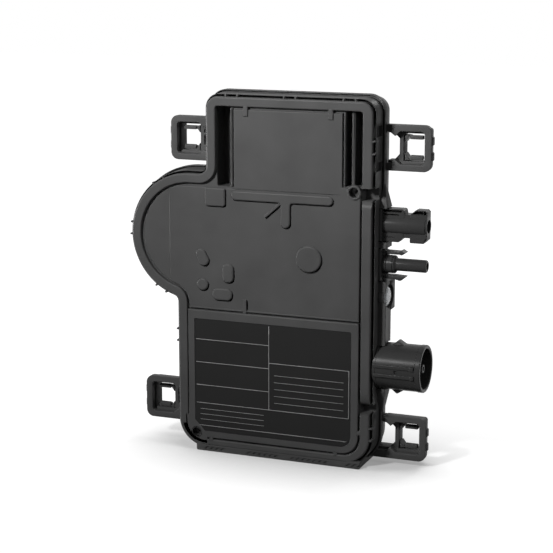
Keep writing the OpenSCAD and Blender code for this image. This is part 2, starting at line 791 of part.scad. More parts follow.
// Hollow key post in the middle of the pins
module ac_key_post() {
    color(dark) ring_x(ac_carrier_x, tip_x - 1.6, axis_y, ac_z, ac_post_r, ac_post_r - 0.9);
}
module ac_pins() {
    color("silver") ac_pin_places() bar_x(dc_tail_x, ac_carrier_x + 2.6, axis_y, ac_z, ac_pin_r);
}
module ac_seal() {
    color("dimgray")
        ring_x(right_x - 1.7, right_x - 0.5, axis_y, ac_z, ac_spigot_r + 0.1, ac_spigot_r - 0.85);
}

// ---- Status light -------------------------------------------------------------------------

dome_h = 3;
status_board_x = wall_in_x - 4.6;
status_board_t = 1.2;
led_h = 1.7;
pipe_x = status_board_x + status_board_t + led_h + 0.2;
module status_lens() {
    dome_r = (lens_r * lens_r + dome_h * dome_h) / (2 * dome_h);
    color([0.85, 0.87, 0.88]) translate([lens_seat_x, axis_y, lens_z]) rotate([0, 90, 0]) {
        cylinder(r = lens_r, h = 0.8);
        translate([0, 0, 0.8]) rotate_extrude() intersection() {
            translate([0, dome_h - dome_r]) circle(dome_r);
            square([lens_r, dome_h]);
        }
        // Light pipe that reaches in to the lamp
        translate([0, 0, pipe_x - lens_seat_x])
            cylinder(r = lens_spigot_r, h = lens_seat_x - pipe_x + weld);
    }
}
module status_board() {
    color("darkgreen") box(
        [status_board_x, axis_y - 5, lens_z - 5], [status_board_x + status_board_t, board_y, lens_z + 5]
    );
}
module status_led() {
    led_x = status_board_x + status_board_t;
    color("white") {
        box([led_x, axis_y - 1.4, lens_z - 1.4], [led_x + 0.8, axis_y + 1.4, lens_z + 1.4]);
        bar_x(led_x + 0.8 - weld, led_x + led_h, axis_y, lens_z, 1.1);
    }
}

// ---- Circuit board and what it carries ----------------------------------------------------

board_edge = wall_t + 3.2;
module circuit_board() {
    color("darkgreen") difference() {
        body_slab(board_y, board_y + board_t, -board_edge);
        for (p = screw_xz) bar_y(p[0], p[1], boss_r + 0.6, board_y - cut, board_y + board_t + cut);
        for (p = standoff_xz) bar_y(p[0], p[1], 1.3, board_y - cut, board_y + board_t + cut);
        // Room for the AC connector's inner end
        box([right_x - wall_t - 4.6, board_y - cut, ac_z - 12],
            [right_x, board_y + board_t + cut, ac_z + 12]);
    }
}
module board_screws() {
    color("silver") for (p = standoff_xz) {
        bar_y(p[0], p[1], 2.2, board_y - 1.4, board_y);
        bar_y(p[0], p[1], 1.05, board_y - 0.5, board_y + board_t + 4);
    }
}

// A box of size [x, z] and height h standing on the board's front at (x, z)
module on_board(x, z, w, l, h) {
    box([x - w / 2, board_y - h, z - l / 2], [x + w / 2, board_y, z + l / 2]);
}
// The same on the board's back
module under_board(x, z, w, l, h) {
    box([x - w / 2, board_y + board_t, z - l / 2], [x + w / 2, board_y + board_t + h, z + l / 2]);
}

winding_r0 = core_r * 0.42;
winding_r1 = core_r * 0.8;
winding_floor = 2.5;
module transformer_core() {
    color("dimgray") difference() {
        bar_y(bulge_x, bulge_z, core_r, board_y - tall_h, board_y);
        difference() {
            bar_y(bulge_x, bulge_z, winding_r1, board_y - tall_h - cut, board_y - winding_floor);
            bar_y(bulge_x, bulge_z, winding_r0, board_y - tall_h - 2 * cut, board_y);
        }
    }
}
module transformer_winding() {
    color("peru") difference() {
        bar_y(bulge_x, bulge_z, winding_r1 - 0.2, board_y - tall_h + 1, board_y - winding_floor);
        bar_y(bulge_x, bulge_z, winding_r0 + 0.2, board_y - tall_h, board_y);
    }
}
inductor_r = 10.5;
inductor_bore_r = 4.5;
inductor_xz = [[-34, 44], [-9, 44]];
module filter_inductors() {
    color("peru") for (p = inductor_xz) difference() {
        bar_y(p[0], p[1], inductor_r, board_y - tall_h + 2, board_y);
        bar_y(p[0], p[1], inductor_bore_r, board_y - tall_h, board_y + cut);
    }
}
film_size = [24, 9.5];
film_xz = [[20, 38], [20, 50]];
module film_capacitors() {
    color("khaki") for (p = film_xz) on_board(p[0], p[1], film_size[0], film_size[1], tall_h - 1);
}
can_r = 6.4;
can_xs = [20, 35];
can_zs = [104, 119];
module bulk_capacitors() {
    color("steelblue") for (x = can_xs, z = can_zs) bar_y(x, z, can_r, board_y - tall_h, board_y);
}
transistor_h = 2.3;
spreader_y = board_y + board_t + transistor_h + 0.1;
spreader_share = 0.555;
spreader_t = (back_inner_y - spreader_y) * spreader_share;
pad_inset = 2;
spreader_x = [-30, 32];
spreader_z = [bulge_z - 38, bulge_z + 2];
transistor_xs = [-20, -6, 8, 22];
module transistor_row(z) {
    color("black") for (x = transistor_xs) under_board(x, z, 9.8, 9, transistor_h);
}
module dc_transistors() { transistor_row(spreader_z[1] - 8); }
module ac_transistors() { transistor_row(spreader_z[0] + 8); }
module spreader_shape(inset) {
    round_rect(spreader_x[0] + inset, spreader_x[1] - inset,
        spreader_z[0] + inset, spreader_z[1] - inset, 3);
}
module heat_spreader() {
    color("silver") slab(spreader_y, spreader_y + spreader_t) spreader_shape(0);
}
module thermal_pad() {
    color("lightblue") slab(spreader_y + spreader_t, back_inner_y) spreader_shape(pad_inset);
}
chip_h = 1.4;
chip_large = [-18, 122, 14];
chip_small = [-2, 96, 10];
module control_chips() {
    color("black") for (c = [chip_large, chip_small]) on_board(c[0], c[1], c[2], c[2], chip_h);
}
relay_size = [20, 14];
relay_xz = [20, 24];
module ac_relay() {
    color("white")
        on_board(relay_xz[0], relay_xz[1], relay_size[0], relay_size[1], tall_h - 1);
}
surge_r = 5.2;
surge_t = 4;
surge_xz = [[8, 70], [22, 70]];
module surge_absorbers() {
    color("royalblue") for (p = surge_xz)
        bar_x(p[0] - surge_t / 2, p[0] + surge_t / 2, board_y - surge_r, p[1], surge_r);
}

// Flat bars that carry current from the contacts down to the board
lead_t = 1;
module lead_bar(y, z) {
    box([dc_tail_x - 3, y - lead_t / 2, z - 1.2], [dc_tail_x, y + lead_t / 2, z + 1.2]);
    box([dc_tail_x - 3, y, z - 1.2], [dc_tail_x - 3 + lead_t, board_y, z + 1.2]);
}
module dc_lead_bars() {
    color("peru") for (z = [dc_socket_z, dc_plug_z]) lead_bar(axis_y, z);
}
module ac_lead_bars() {
    color("peru") for (i = [0:ac_pin_count - 1]) {
        a = ac_pin_a0 + i * 360 / ac_pin_count;
        y = axis_y + ac_pin_circle_r * cos(a);
        z = ac_z + ac_pin_circle_r * sin(a);
        box([dc_tail_x - 4, y - lead_t / 2, z - 1.2], [dc_tail_x, y + lead_t / 2, z + 1.2]);
        box([dc_tail_x - 4, y, z - 1.2], [dc_tail_x - 3, board_y, z + 1.2]);
    }
}

front_cover();
rear_housing();
ear_upper_left();
ear_upper_right();
ear_lower_left();
ear_lower_right();
housing_gasket();
cover_screws();
label_plate();
dc_socket_housing();
dc_socket_contact();
dc_plug_housing();
dc_plug_contact();
dc_latch_upper();
dc_latch_lower();
dc_seals();
ac_connector_shell();
ac_pin_carrier();
ac_key_post();
ac_pins();
ac_seal();
status_lens();
status_board();
status_led();
circuit_board();
board_screws();
transformer_core();
transformer_winding();
filter_inductors();
film_capacitors();
bulk_capacitors();
dc_transistors();
ac_transistors();
heat_spreader();
thermal_pad();
control_chips();
ac_relay();
surge_absorbers();
dc_lead_bars();
ac_lead_bars();
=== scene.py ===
import math

import bmesh
import bpy
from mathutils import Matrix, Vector
from mathutils.geometry import tessellate_polygon


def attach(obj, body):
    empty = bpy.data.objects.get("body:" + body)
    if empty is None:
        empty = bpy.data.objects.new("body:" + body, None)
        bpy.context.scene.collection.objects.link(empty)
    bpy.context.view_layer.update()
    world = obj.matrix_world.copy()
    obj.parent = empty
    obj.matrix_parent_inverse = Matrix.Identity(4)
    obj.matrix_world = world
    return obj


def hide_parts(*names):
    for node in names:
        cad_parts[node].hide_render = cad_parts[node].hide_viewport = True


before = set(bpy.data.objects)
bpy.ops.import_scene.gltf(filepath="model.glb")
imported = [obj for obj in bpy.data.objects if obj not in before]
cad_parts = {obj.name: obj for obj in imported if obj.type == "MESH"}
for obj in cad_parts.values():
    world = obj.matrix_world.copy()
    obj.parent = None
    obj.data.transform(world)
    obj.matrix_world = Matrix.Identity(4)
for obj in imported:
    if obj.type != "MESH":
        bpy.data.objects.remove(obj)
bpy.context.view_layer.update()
MM = 0.001
WELD = 1e-6      # metres within which points of a mesh become one

# ---- Sizes, in millimetres, as in the solid model -------------------------------------------
TOP, BOTTOM, RIGHT = 209.0, 3.0, 56.0
LEFT_UP, LEFT_LOW = -42.9, -61.5
BULGE_X, BULGE_Z, BULGE_R = -54.1, 128.0, 36.5
TOP_R, LOW_R, FILLET_R = 7.0, 15.5, 5.0
BAND = 5.4
WELL_Y = 2.4
PLATEAU_Y = 0.8
CREASE_X = -66.5
PART_Y = 15.2
BACK_Y = 30.2
AXIS_Y = 15.2
SEAT_X = 56.9
TIP_X = 84.4
DC_SOCKET_Z, DC_PLUG_Z, AC_Z, LENS_Z = 140.0, 117.5, 58.8, 99.0
UPPER_SCREW, LOWER_SCREW = (45.6, 158.8), (-50.6, 11.0)
SCREW_BORE_R, SCREW_BORE_Y = 2.8, 5.4
EAR_LEN, EAR_H, EAR_D, EAR_Y = 26.0, 25.7, 12.0, 15.0
RIB_PITCH = 7.0


# ---- Materials ------------------------------------------------------------------------------
def even(v):
    """The linear colour of an sRGB grey from 0 to 255."""
    v = v / 255
    linear = v / 12.92 if v <= 0.04045 else ((v + 0.055) / 1.055) ** 2.4
    return (linear, linear, linear)


def surface(name, color, rough, grain=2600, bump=0.12, patch=0.10, metallic=0.0, spec=0.5,
            streak=None):
    """A moulded or machined surface: soft colour patches, uneven roughness and a fine grain."""
    mat = bpy.data.materials.new(name)
    mat.use_nodes = True
    nodes, links = mat.node_tree.nodes, mat.node_tree.links
    shader = nodes["Principled BSDF"]
    shader.inputs["Metallic"].default_value = metallic
    shader.inputs["Specular IOR Level"].default_value = spec
    where = nodes.new("ShaderNodeTexCoord")
    place = nodes.new("ShaderNodeMapping")
    links.new(where.outputs["Object"], place.inputs["Vector"])
    if streak:
        place.inputs["Scale"].default_value = streak

    def noise(scale, detail):
        n = nodes.new("ShaderNodeTexNoise")
        n.inputs["Scale"].default_value = scale
        n.inputs["Detail"].default_value = detail
        links.new(place.outputs["Vector"], n.inputs["Vector"])
        return n

    patches = noise(38, 3)
    ramp = nodes.new("ShaderNodeValToRGB")
    low = [c * (1 - patch) for c in color]
    high = [min(1, c * (1 + patch)) for c in color]
    ramp.color_ramp.elements[0].position = 0.3
    ramp.color_ramp.elements[1].position = 0.7
    ramp.color_ramp.elements[0].color = (*low, 1)
    ramp.color_ramp.elements[1].color = (*high, 1)
    links.new(patches.outputs["Fac"], ramp.inputs["Fac"])
    links.new(ramp.outputs["Color"], shader.inputs["Base Color"])
    uneven = noise(210, 4)
    span = nodes.new("ShaderNodeMapRange")
    span.inputs["To Min"].default_value = max(0.02, rough - 0.07)
    span.inputs["To Max"].default_value = min(1, rough + 0.07)
    links.new(uneven.outputs["Fac"], span.inputs["Value"])
    links.new(span.outputs["Result"], shader.inputs["Roughness"])
    fine = noise(grain, 2)
    bumps = nodes.new("ShaderNodeBump")
    bumps.inputs["Strength"].default_value = bump
    bumps.inputs["Distance"].default_value = 0.00006
    links.new(fine.outputs["Fac"], bumps.inputs["Height"])
    links.new(bumps.outputs["Normal"], shader.inputs["Normal"])
    return mat


HOUSING = surface("housing_plastic", even(74), 0.36, bump=0.16, spec=0.05)
CONNECTOR = surface("connector_plastic", even(52), 0.28, grain=3200, bump=0.08, spec=0.08)
INNER_DARK = surface("carrier_plastic", even(36), 0.5, spec=0.4)
LATCH = surface("latch_plastic", even(50), 0.4, grain=3200, bump=0.08, spec=0.12)
LABEL = surface("label_film", even(38), 0.5, grain=5200, bump=0.05, patch=0.05, spec=0.05)
RULES = surface("label_ink", even(150), 0.6, grain=5200, bump=0.04, patch=0.2, spec=0.2)
STEEL = surface("screw_steel", (0.35, 0.35, 0.36), 0.32, metallic=1, streak=(1, 8, 1))
BLACK_STEEL = surface("screw_black_oxide", even(70), 0.4, metallic=0.5, spec=0.3)
TIN = surface("contact_tin", (0.62, 0.58, 0.48), 0.3, metallic=1, streak=(6, 1, 1))
COPPER = surface("enamelled_copper", (0.55, 0.24, 0.1), 0.34, metallic=1, streak=(1, 9, 1))
RUBBER = surface("seal_rubber", even(40), 0.75, spec=0.3)
PAD = surface("thermal_pad_gum", (0.3, 0.42, 0.48), 0.8)
BOARD = surface("solder_mask", (0.02, 0.16, 0.06), 0.35, spec=0.5, patch=0.2)
FERRITE = surface("sintered_ferrite", even(70), 0.7, bump=0.3)
FILM_BOX = surface("film_box", (0.6, 0.5, 0.2), 0.5)
CAN = surface("capacitor_sleeve", (0.12, 0.2, 0.36), 0.35)
CHIP = surface("moulded_epoxy", even(34), 0.6)
RELAY = surface("relay_case", (0.62, 0.62, 0.58), 0.45)
VARISTOR = surface("dipped_epoxy", (0.04, 0.1, 0.36), 0.3)
ALUMINIUM = surface("rolled_aluminium", (0.72, 0.73, 0.74), 0.35, metallic=1, streak=(1, 1, 12))
LED = surface("lamp_body", (0.8, 0.8, 0.76), 0.3)


def clear_plastic():
    mat = surface("clear_lens", (0.42, 0.44, 0.46), 0.12, grain=500, bump=0.1, patch=0.03)
    shader = mat.node_tree.nodes["Principled BSDF"]
    shader.inputs["Transmission Weight"].default_value = 0.75
    shader.inputs["IOR"].default_value = 1.5
    return mat


LENS = clear_plastic()


# ---- Outlines -------------------------------------------------------------------------------
def arc(cx, cz, r, a0, a1, n):
    """n steps of an arc about (cx, cz), from angle a0 to a1 in degrees."""
    return [(cx + r * math.cos(math.radians(a0 + (a1 - a0) * i / n)),
             cz + r * math.sin(math.radians(a0 + (a1 - a0) * i / n))) for i in range(n + 1)]


def circle(cx, cz, r, n):
    return arc(cx, cz, r, 0, 360, n)[:-1]


def outline(g, right=None, low=None, left=None, low_r=None):
    """The housing's outline, grown by g. right, low and left set those sides by themselves."""
    xr = RIGHT + g if right is None else right
    xu, xl = LEFT_UP - g, LEFT_LOW - g if left is None else left
    zt, zb = TOP + g, BOTTOM - g if low is None else low
    rt, rb = TOP_R + g, LOW_R + g if low_r is None else low_r
    f, br = FILLET_R - g, BULGE_R + g
    fx = xl - f
    fz = BULGE_Z - math.sqrt((br + f) ** 2 - (fx - BULGE_X) ** 2)
    fa = math.degrees(math.atan2(fz - BULGE_Z, fx - BULGE_X))
    rt = max(rt, 0.4)
    return (arc(xr - rt, zt - rt, rt, 0, 90, 12) + arc(xu + rt, zt - rt, rt, 90, 180, 12)
            + arc(xu - f, BULGE_Z + br + f, f, 0, -90, 10)
            + arc(BULGE_X, BULGE_Z, br, 90, 360 + fa, 72)[1:]
            + arc(fx, fz, f, fa + 180, 0, 10)[1:]
            + arc(xl + rb, zb + rb, rb, 180, 270, 16) + arc(xr - rb, zb + rb, rb, 270, 360, 16))


def rounded(x0, x1, z0, z1, radii, n=6):
    """A rectangle with round corners.

    radii is one value, or a list: right top, left top, left low, right low.
    """
    if not isinstance(radii, (list, tuple)):
        radii = [radii] * 4
    a, b, c, d = radii
    return (arc(x1 - a, z1 - a, a, 0, 90, n) + arc(x0 + b, z1 - b, b, 90, 180, n)
            + arc(x0 + c, z0 + c, c, 180, 270, n) + arc(x1 - d, z0 + d, d, 270, 360, n))


def turned(points, cx, cz, angle):
    """The points turned by angle in degrees and moved to (cx, cz)."""
    c, s = math.cos(math.radians(angle)), math.sin(math.radians(angle))
    return [(cx + x * c - z * s, cz + x * s + z * c) for x, z in points]


def area(points):
    """The area inside a closed outline, positive when it runs anticlockwise."""
    return sum(a[0] * b[1] - b[0] * a[1] for a, b in zip(points, points[1:] + points[:1])) / 2


def inset(points, d):
    """The closed outline moved to its left by d, with mitred corners."""
    out = []
    n = len(points)
    for i in range(n):
        p0, p1, p2 = (Vector(points[(i + k) % n]) for k in (-1, 0, 1))
        e1, e2 = (p1 - p0), (p2 - p1)
        if e1.length < 1e-9 or e2.length < 1e-9:
            e1 = e2 = e1 if e1.length > e2.length else e2
        e1.normalize()
        e2.normalize()
        n1, n2 = Vector((-e1.y, e1.x)), Vector((-e2.y, e2.x))
        m = (n1 + n2) / max(0.35, 1 + n1.dot(n2))
        out.append(tuple(p1 + m * d))
    return out


# ---- Building meshes ------------------------------------------------------------------------
def facing_front(u, v, w):
    """An outline in X and Z, with its depth along Y."""
    return u, w, v


def facing_side(u, v, w):
    """An outline in Y and Z, with its depth along X."""
    return w, u, v


def facing_up(u, v, w):
    """An outline in X and Y, with its depth along Z."""
    return u, v, w


class Maker:
    """Collects closed shells into one mesh, in millimetres."""

    def __init__(self):
        self.bm = bmesh.new()

    def ring(self, points, w, place=facing_front):
        return [self.bm.verts.new(Vector(place(u, v, w)) * MM) for u, v in points]

    def join(self, a, b):
        """Faces between two rings of the same count."""
        n = len(a)
        for i in range(n):
            j = (i + 1) % n
            self.bm.faces.new((a[i], a[j], b[j], b[i]))

    def fill(self, rings, flats, flip=False):
        """Closes a flat face between rings; flats are their 2D points."""
        verts = [v for r in rings for v in r]
        for tri in tessellate_polygon([[Vector((x, z, 0)) for x, z in f] for f in flats]):
            if len(set(tri)) == 3:
                corners = [verts[i] for i in tri]
                try:
                    self.bm.faces.new(corners[::-1] if flip else corners)
                except ValueError:
                    pass

    def plate(self, loops, top, low, bevel=0.0, steps=3, place=facing_front, low_bevel=0.0,
              hole_bevel=None):
        """A plate from top (nearer the viewer) to low, its upper edges rounded by bevel."""
        if not isinstance(loops[0], list):
            loops = [loops]
        loops = [l if (area(l) > 0) == (i == 0) else l[::-1] for i, l in enumerate(loops)]
        sign = 1 if low > top else -1
        tops, flats, lows, low_flats = [], [], [], []
        for loop in loops:
            base = inset(loop, low_bevel) if low_bevel else loop
            last = self.ring(base, low, place)
            lows.append(last)
            low_flats.append(base)
            if low_bevel:
                nxt = self.ring(loop, low - sign * low_bevel, place)
                self.join(last, nxt)
                last = nxt
            flat = loop
            edge = bevel if hole_bevel is None or not lows[1:] else hole_bevel
            for k in range(steps + 1 if edge else 1):
                t = math.pi / 2 * k / steps
                d = edge * (1 - math.cos(t)) if edge else 0
                h = edge * (1 - math.sin(t)) if edge else 0
                flat = inset(loop, d) if d else loop
                nxt = self.ring(flat, top + sign * h, place)
                self.join(last, nxt)
                last = nxt
            tops.append(last)
            flats.append(flat)
        self.fill(tops, flats)
        self.fill(lows, low_flats, True)

    def lathe(self, profile, y, z, segments=64, x_axis=True):
        """Turns a profile of (x, radius) round a line along X at (y, z), or along Y at (x, z)."""
        rings = []
        for s, r in profile:
            if r < 1e-6:
                p = (s, y, z) if x_axis else (y, s, z)
                rings.append([self.bm.verts.new(Vector(p) * MM)])
                continue
            ring = []
            for i in range(segments):
                a = 2 * math.pi * i / segments
                c, d = r * math.cos(a), r * math.sin(a)
                p = (s, y + c, z + d) if x_axis else (y + c, s, z + d)
                ring.append(self.bm.verts.new(Vector(p) * MM))
            rings.append(ring)
        for a, b in zip(rings, rings[1:]):
            if len(a) == 1 and len(b) == 1:
                continue
            n = max(len(a), len(b))
            for i in range(n):
                j = (i + 1) % n
                if len(a) == 1:
                    self.bm.faces.new((a[0], b[j], b[i]))
                elif len(b) == 1:
                    self.bm.faces.new((a[i], a[j], b[0]))
                else:
                    self.bm.faces.new((a[i], a[j], b[j], b[i]))

    def box(self, a, b, bevel=0.0):
        (x0, y0, z0), (x1, y1, z1) = a, b
        self.plate(rounded(x0, x1, z0, z1, bevel or 0.05, 2), y0, y1, bevel, 2,
                   low_bevel=bevel)

    def object(self, name, material, angle=32, flat=False):
        bmesh.ops.remove_doubles(self.bm, verts=self.bm.verts, dist=WELD)
        bmesh.ops.recalc_face_normals(self.bm, faces=self.bm.faces)
        mesh = bpy.data.meshes.new(name)
        self.bm.to_mesh(mesh)
        self.bm.free()
        mesh.materials.append(material)
        obj = bpy.data.objects.new(name, mesh)
        bpy.context.scene.collection.objects.link(obj)
        smooth(mesh, angle, flat)
        return obj


def smooth(mesh, angle, flat):
    """Smooth shading with sharp edges above angle. flat keeps faces that look forward plain."""
    mesh.polygons.foreach_set("use_smooth", [True] * len(mesh.polygons))
    mesh.set_sharp_from_angle(angle=math.radians(angle))
    if flat:
        mesh.polygons.foreach_set("use_smooth", [abs(f.normal.y) < 0.995 for f in mesh.polygons])
        mesh.update()


def cut(obj, maker, angle=32, flat=False):
    """Takes maker's shells out of obj."""
    tool = maker.object("cutter", obj.data.materials[0])
    mod = obj.modifiers.new("cut", "BOOLEAN")
    mod.operation = "DIFFERENCE"
    mod.solver = "EXACT"
    mod.use_self = True
    mod.object = tool
    bpy.context.view_layer.update()
    done = bpy.data.meshes.new_from_object(
        obj.evaluated_get(bpy.context.evaluated_depsgraph_get()))
    obj.modifiers.clear()
    obj.data = done
    bpy.data.objects.remove(tool)
    smooth(done, angle, flat)
    return obj


def finish_piece(obj, body="housing", replaces=()):
    """Gives a piece its body, and hides the solid nodes that it stands for."""
    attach(obj, body)
    if replaces:
        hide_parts(*replaces)
    return obj


# ---- Front cover ----------------------------------------------------------------------------
def inner_loop(g):
    """The rim's inner edge, widened by g."""
    return outline(-BAND + g, right=50.3 + g, low=7.3 - g, left=-55.9 - g, low_r=10.6 + g)


def cover_body():
    """The cover's walls from the seam to the rim, and the well with its channels."""
    m = Maker()
    profile = [(-2.4, PART_Y), (2.8, PART_Y), (3.0, 15.0), (3.0, 13.35), (2.88, 13.15),
               (2.62, 13.1), (2.5, 13.25), (2.45, 14.6), (1.6, 14.6), (1.5, 14.5), (1.5, 10.2),
               (1.42, 9.9), (1.36, 3.1), (1.28, 2.85), (1.15, 2.75), (1.02, 2.85), (0.97, 3.1),
               (0.92, 8.0), (-0.3, 8.0), (-0.35, 7.9), (-0.35, 1.75), (-0.3, 1.65), (-0.05, 1.6),
               (0.0, 1.5), (0.0, 0.95), (-0.08, 0.6), (-0.3, 0.28), (-0.62, 0.07), (-1.0, 0.0)]
    rings = [m.ring(outline(g), y) for g, y in profile]
    for a, b in zip(rings, rings[1:]):
        m.join(a, b)
    m.fill([rings[0]], [outline(-2.4)], True)
    # Inner edge of the rim, down to the well's floor
    inner = [(0.0, WELL_Y), (0.0, 0.7), (0.06, 0.42), (0.21, 0.2), (0.42, 0.06), (0.7, 0.0)]
    walls = [m.ring(inner_loop(g), y) for g, y in inner]
    for a, b in zip(walls, walls[1:]):
        m.join(a, b)
    m.fill([rings[-1], walls[-1]], [outline(-1.0), inner_loop(0.7)])
    # Floor of the well, with the two deep channels
    channels = [rounded(-37.2, -28.3, 157.8, 203.3, 1.5), rounded(38.9, 50.0, 161.9, 203.3, 1.5)]
    tops = [m.ring(c, WELL_Y) for c in channels]
    for c, top in zip(channels, tops):
        low = m.ring(inset(c, 0.3), 13.0)
        m.join(top, low)
        m.fill([low], [inset(c, 0.3)])
    m.fill([walls[0]] + tops, [inner_loop(0)] + channels)
    return m


def make_bay():
    """The front of the bay beside the connectors, with its sloped head and foot."""
    m = Maker()
    bevel = 0.35
    last = None
    for z, y, x0, x1 in ((31.0, 14.0, 57.8, 59.4), (44.0, 9.1, 57.0, 62.0),
                         (149.5, 9.1, 57.0, 62.0), (162.6, 14.0, 58.5, 59.4)):
        loop = [(x0, 15.3), (x0, y), (x1 - bevel, y), (x1 - bevel * 0.3, y + bevel * 0.3),
                (x1, y + bevel), (x1, 15.3)]
        ring = [m.bm.verts.new(Vector((x, d, z)) * MM) for x, d in loop]
        if last:
            m.join(last, ring)
        else:
            m.bm.faces.new(ring[::-1])
        last = ring
    m.bm.faces.new(last)
    bay = m.object("bay_front", HOUSING, 12)
    finish_piece(side_cuts(bay))


def plateau_loop():
    """The plateau's edge: right side, upper plate, bulge, and down to the label frame."""
    r = BULGE_R - BAND - 1.0
    f = FILLET_R + BAND + 1.0
    xl = LEFT_LOW + BAND + 1.0
    fx = xl - f
    fz = BULGE_Z - math.sqrt((r + f) ** 2 - (fx - BULGE_X) ** 2)
    fa = math.degrees(math.atan2(fz - BULGE_Z, fx - BULGE_X))
    start = math.degrees(math.acos(-7.3 / r))
    pts = [(49.2, 86.0), (49.2, 160.6), (48.8, 161.1), (38.9, 161.2), (38.5, 161.6), (38.5, 202.1),
           (-26.5, 202.1), (-26.5, 157.2)]
    pts += arc(BULGE_X, BULGE_Z, r, start, 360 + fa, 48)
    pts += arc(fx, fz, f, fa + 180, 0, 10)[1:]
    pts += [(xl, 86.0)]
    return pts


def band_end(z, rise):
    """The round end of the right band beside a cut, as (y, z), over a height of rise."""
    return [(3.4 - 3.4 * math.cos(math.radians(t)), z + rise * math.sin(math.radians(t)))
            for t in range(0, 91, 10)]


def screw_bore(tools, place, segments):
    x, z = place
    tools.lathe([(-1, 0), (-1, SCREW_BORE_R), (SCREW_BORE_Y, SCREW_BORE_R), (SCREW_BORE_Y, 0)],
                x, z, segments, False)


def foot_slots(tools):
    """Slanted grip slots, in groups along the foot's front edge."""
    for first, count in ((-46, 4), (-19, 6), (8, 7), (42, 3)):
        for i in range(count):
            x = first + i * 3.4
            tools.plate([(x, 1.2), (x + 1.5, 1.2), (x + 3.4, 2.9), (x + 1.9, 2.9)], -1, 0.7)


def make_cover():
    m = cover_body()
    cover = m.object("front_cover_shell", HOUSING, flat=True)
    tools = Maker()
    # Notch near the top of the right band, and the dip near its foot
    notch = [(-1, 161.4), (-1, 148.4)] + band_end(148.4, 6.0) + [(9.0, 154.6), (9.0, 161.4)]
    dip = [(-1, 33), (-1, 46)] + band_end(46.0, -8.0) + [(9.0, 37.8), (9.0, 33)]
    for profile in (notch, dip):
        tools.plate(profile, 49.75, 60.5, place=facing_side)
    # Openings in the side wall at the upper ear's arms
    for z0, z1 in ((189.4, 195.4), (170.4, 175.4)):
        tools.plate(rounded(3.4, 12.7, z0, z1, 0.5, 2), 55.6, 60.0, place=facing_side)
    cut(cover, tools, flat=True)
    side_cuts(cover)
    tools = Maker()
    for place in (UPPER_SCREW, LOWER_SCREW):
        screw_bore(tools, place, 40)
    foot_slots(tools)
    cut(cover, tools, flat=True)
    return finish_piece(cover, replaces=["front_cover"])


def side_cuts(obj):
    """Room in the shells for the connectors' bases and for the status light."""
    tools = Maker()
    for z in (DC_SOCKET_Z, DC_PLUG_Z):
        tools.plate(rounded(AXIS_Y - 6.4, AXIS_Y + 6.4, z - 9.7, z + 9.7, 0.5, 2),
                    SEAT_X, 66, place=facing_side)
    tools.lathe([(SEAT_X, 0), (SEAT_X, 14.0), (66, 14.0), (66, 0)], AXIS_Y, AC_Z, 64)
    tools.lathe([(56.8, 0), (56.8, 6.8), (70, 6.8), (70, 0)], AXIS_Y, LENS_Z, 48)
    return cut(obj, tools, flat=True)


def plateau_piece():
    """The plateau, which falls away left of a crease, and the ledges beside the upper plate."""
    m = Maker()
    m.plate(plateau_loop(), PLATEAU_Y, 3.2, bevel=0.75, steps=4)
    bm = m.bm
    for x in (CREASE_X, CREASE_X - 0.55):
        bmesh.ops.bisect_plane(bm, geom=bm.verts[:] + bm.edges[:] + bm.faces[:], dist=1e-7,
                               plane_co=(x * MM, 0, 0), plane_no=(1, 0, 0))
    for v in bm.verts:
        x, y = v.co.x / MM, v.co.y / MM
        if x < CREASE_X - 0.3 and y < 3.0:
            v.co.y += (0.3 + (CREASE_X - x) * 0.05) * MM
    m.plate(rounded(-28.5, -26.95, 158.2, 202.6, 0.3, 2), 0.95, 12.9, bevel=0.7, steps=4)
    m.plate(rounded(39.2, 40.2, 162.2, 202.6, 0.2, 2), 0.95, 12.9, bevel=0.35)
    m.plate(rounded(42.9, 45.2, 162.0, 203.2, 0.3, 2), 3.4, 13.1, bevel=1.0, steps=4)
    return m.object("face_plateau", HOUSING, flat=True)


def label_frame_piece():
    m = Maker()
    m.plate([rounded(-55.5, 49.3, 8.2, 85.0, [1.2, 0.4, 10, 10], 10), label_loop(0.15)], 0.0, 3.0,
            bevel=0.62, steps=3, hole_bevel=0.08)
    # The rim and the frame run together at the lower left
    m.plate([(-57.4, 21.5), (-57.4, 16.0)] + arc(-46, 18.5, 13.6, 190, 262, 8)
            + [(-44.0, 4.6), (-43.6, 10.4), (-54.0, 21.5)], 0.0, 3.0, bevel=0.1, steps=1)
    # Thin second line above the frame
    m.plate(rounded(-55.0, 49.0, 85.9, 86.9, 0.3, 2), 0.55, 3.0, bevel=0.25, steps=2)
    return m.object("label_frame_plate", HOUSING, flat=True)


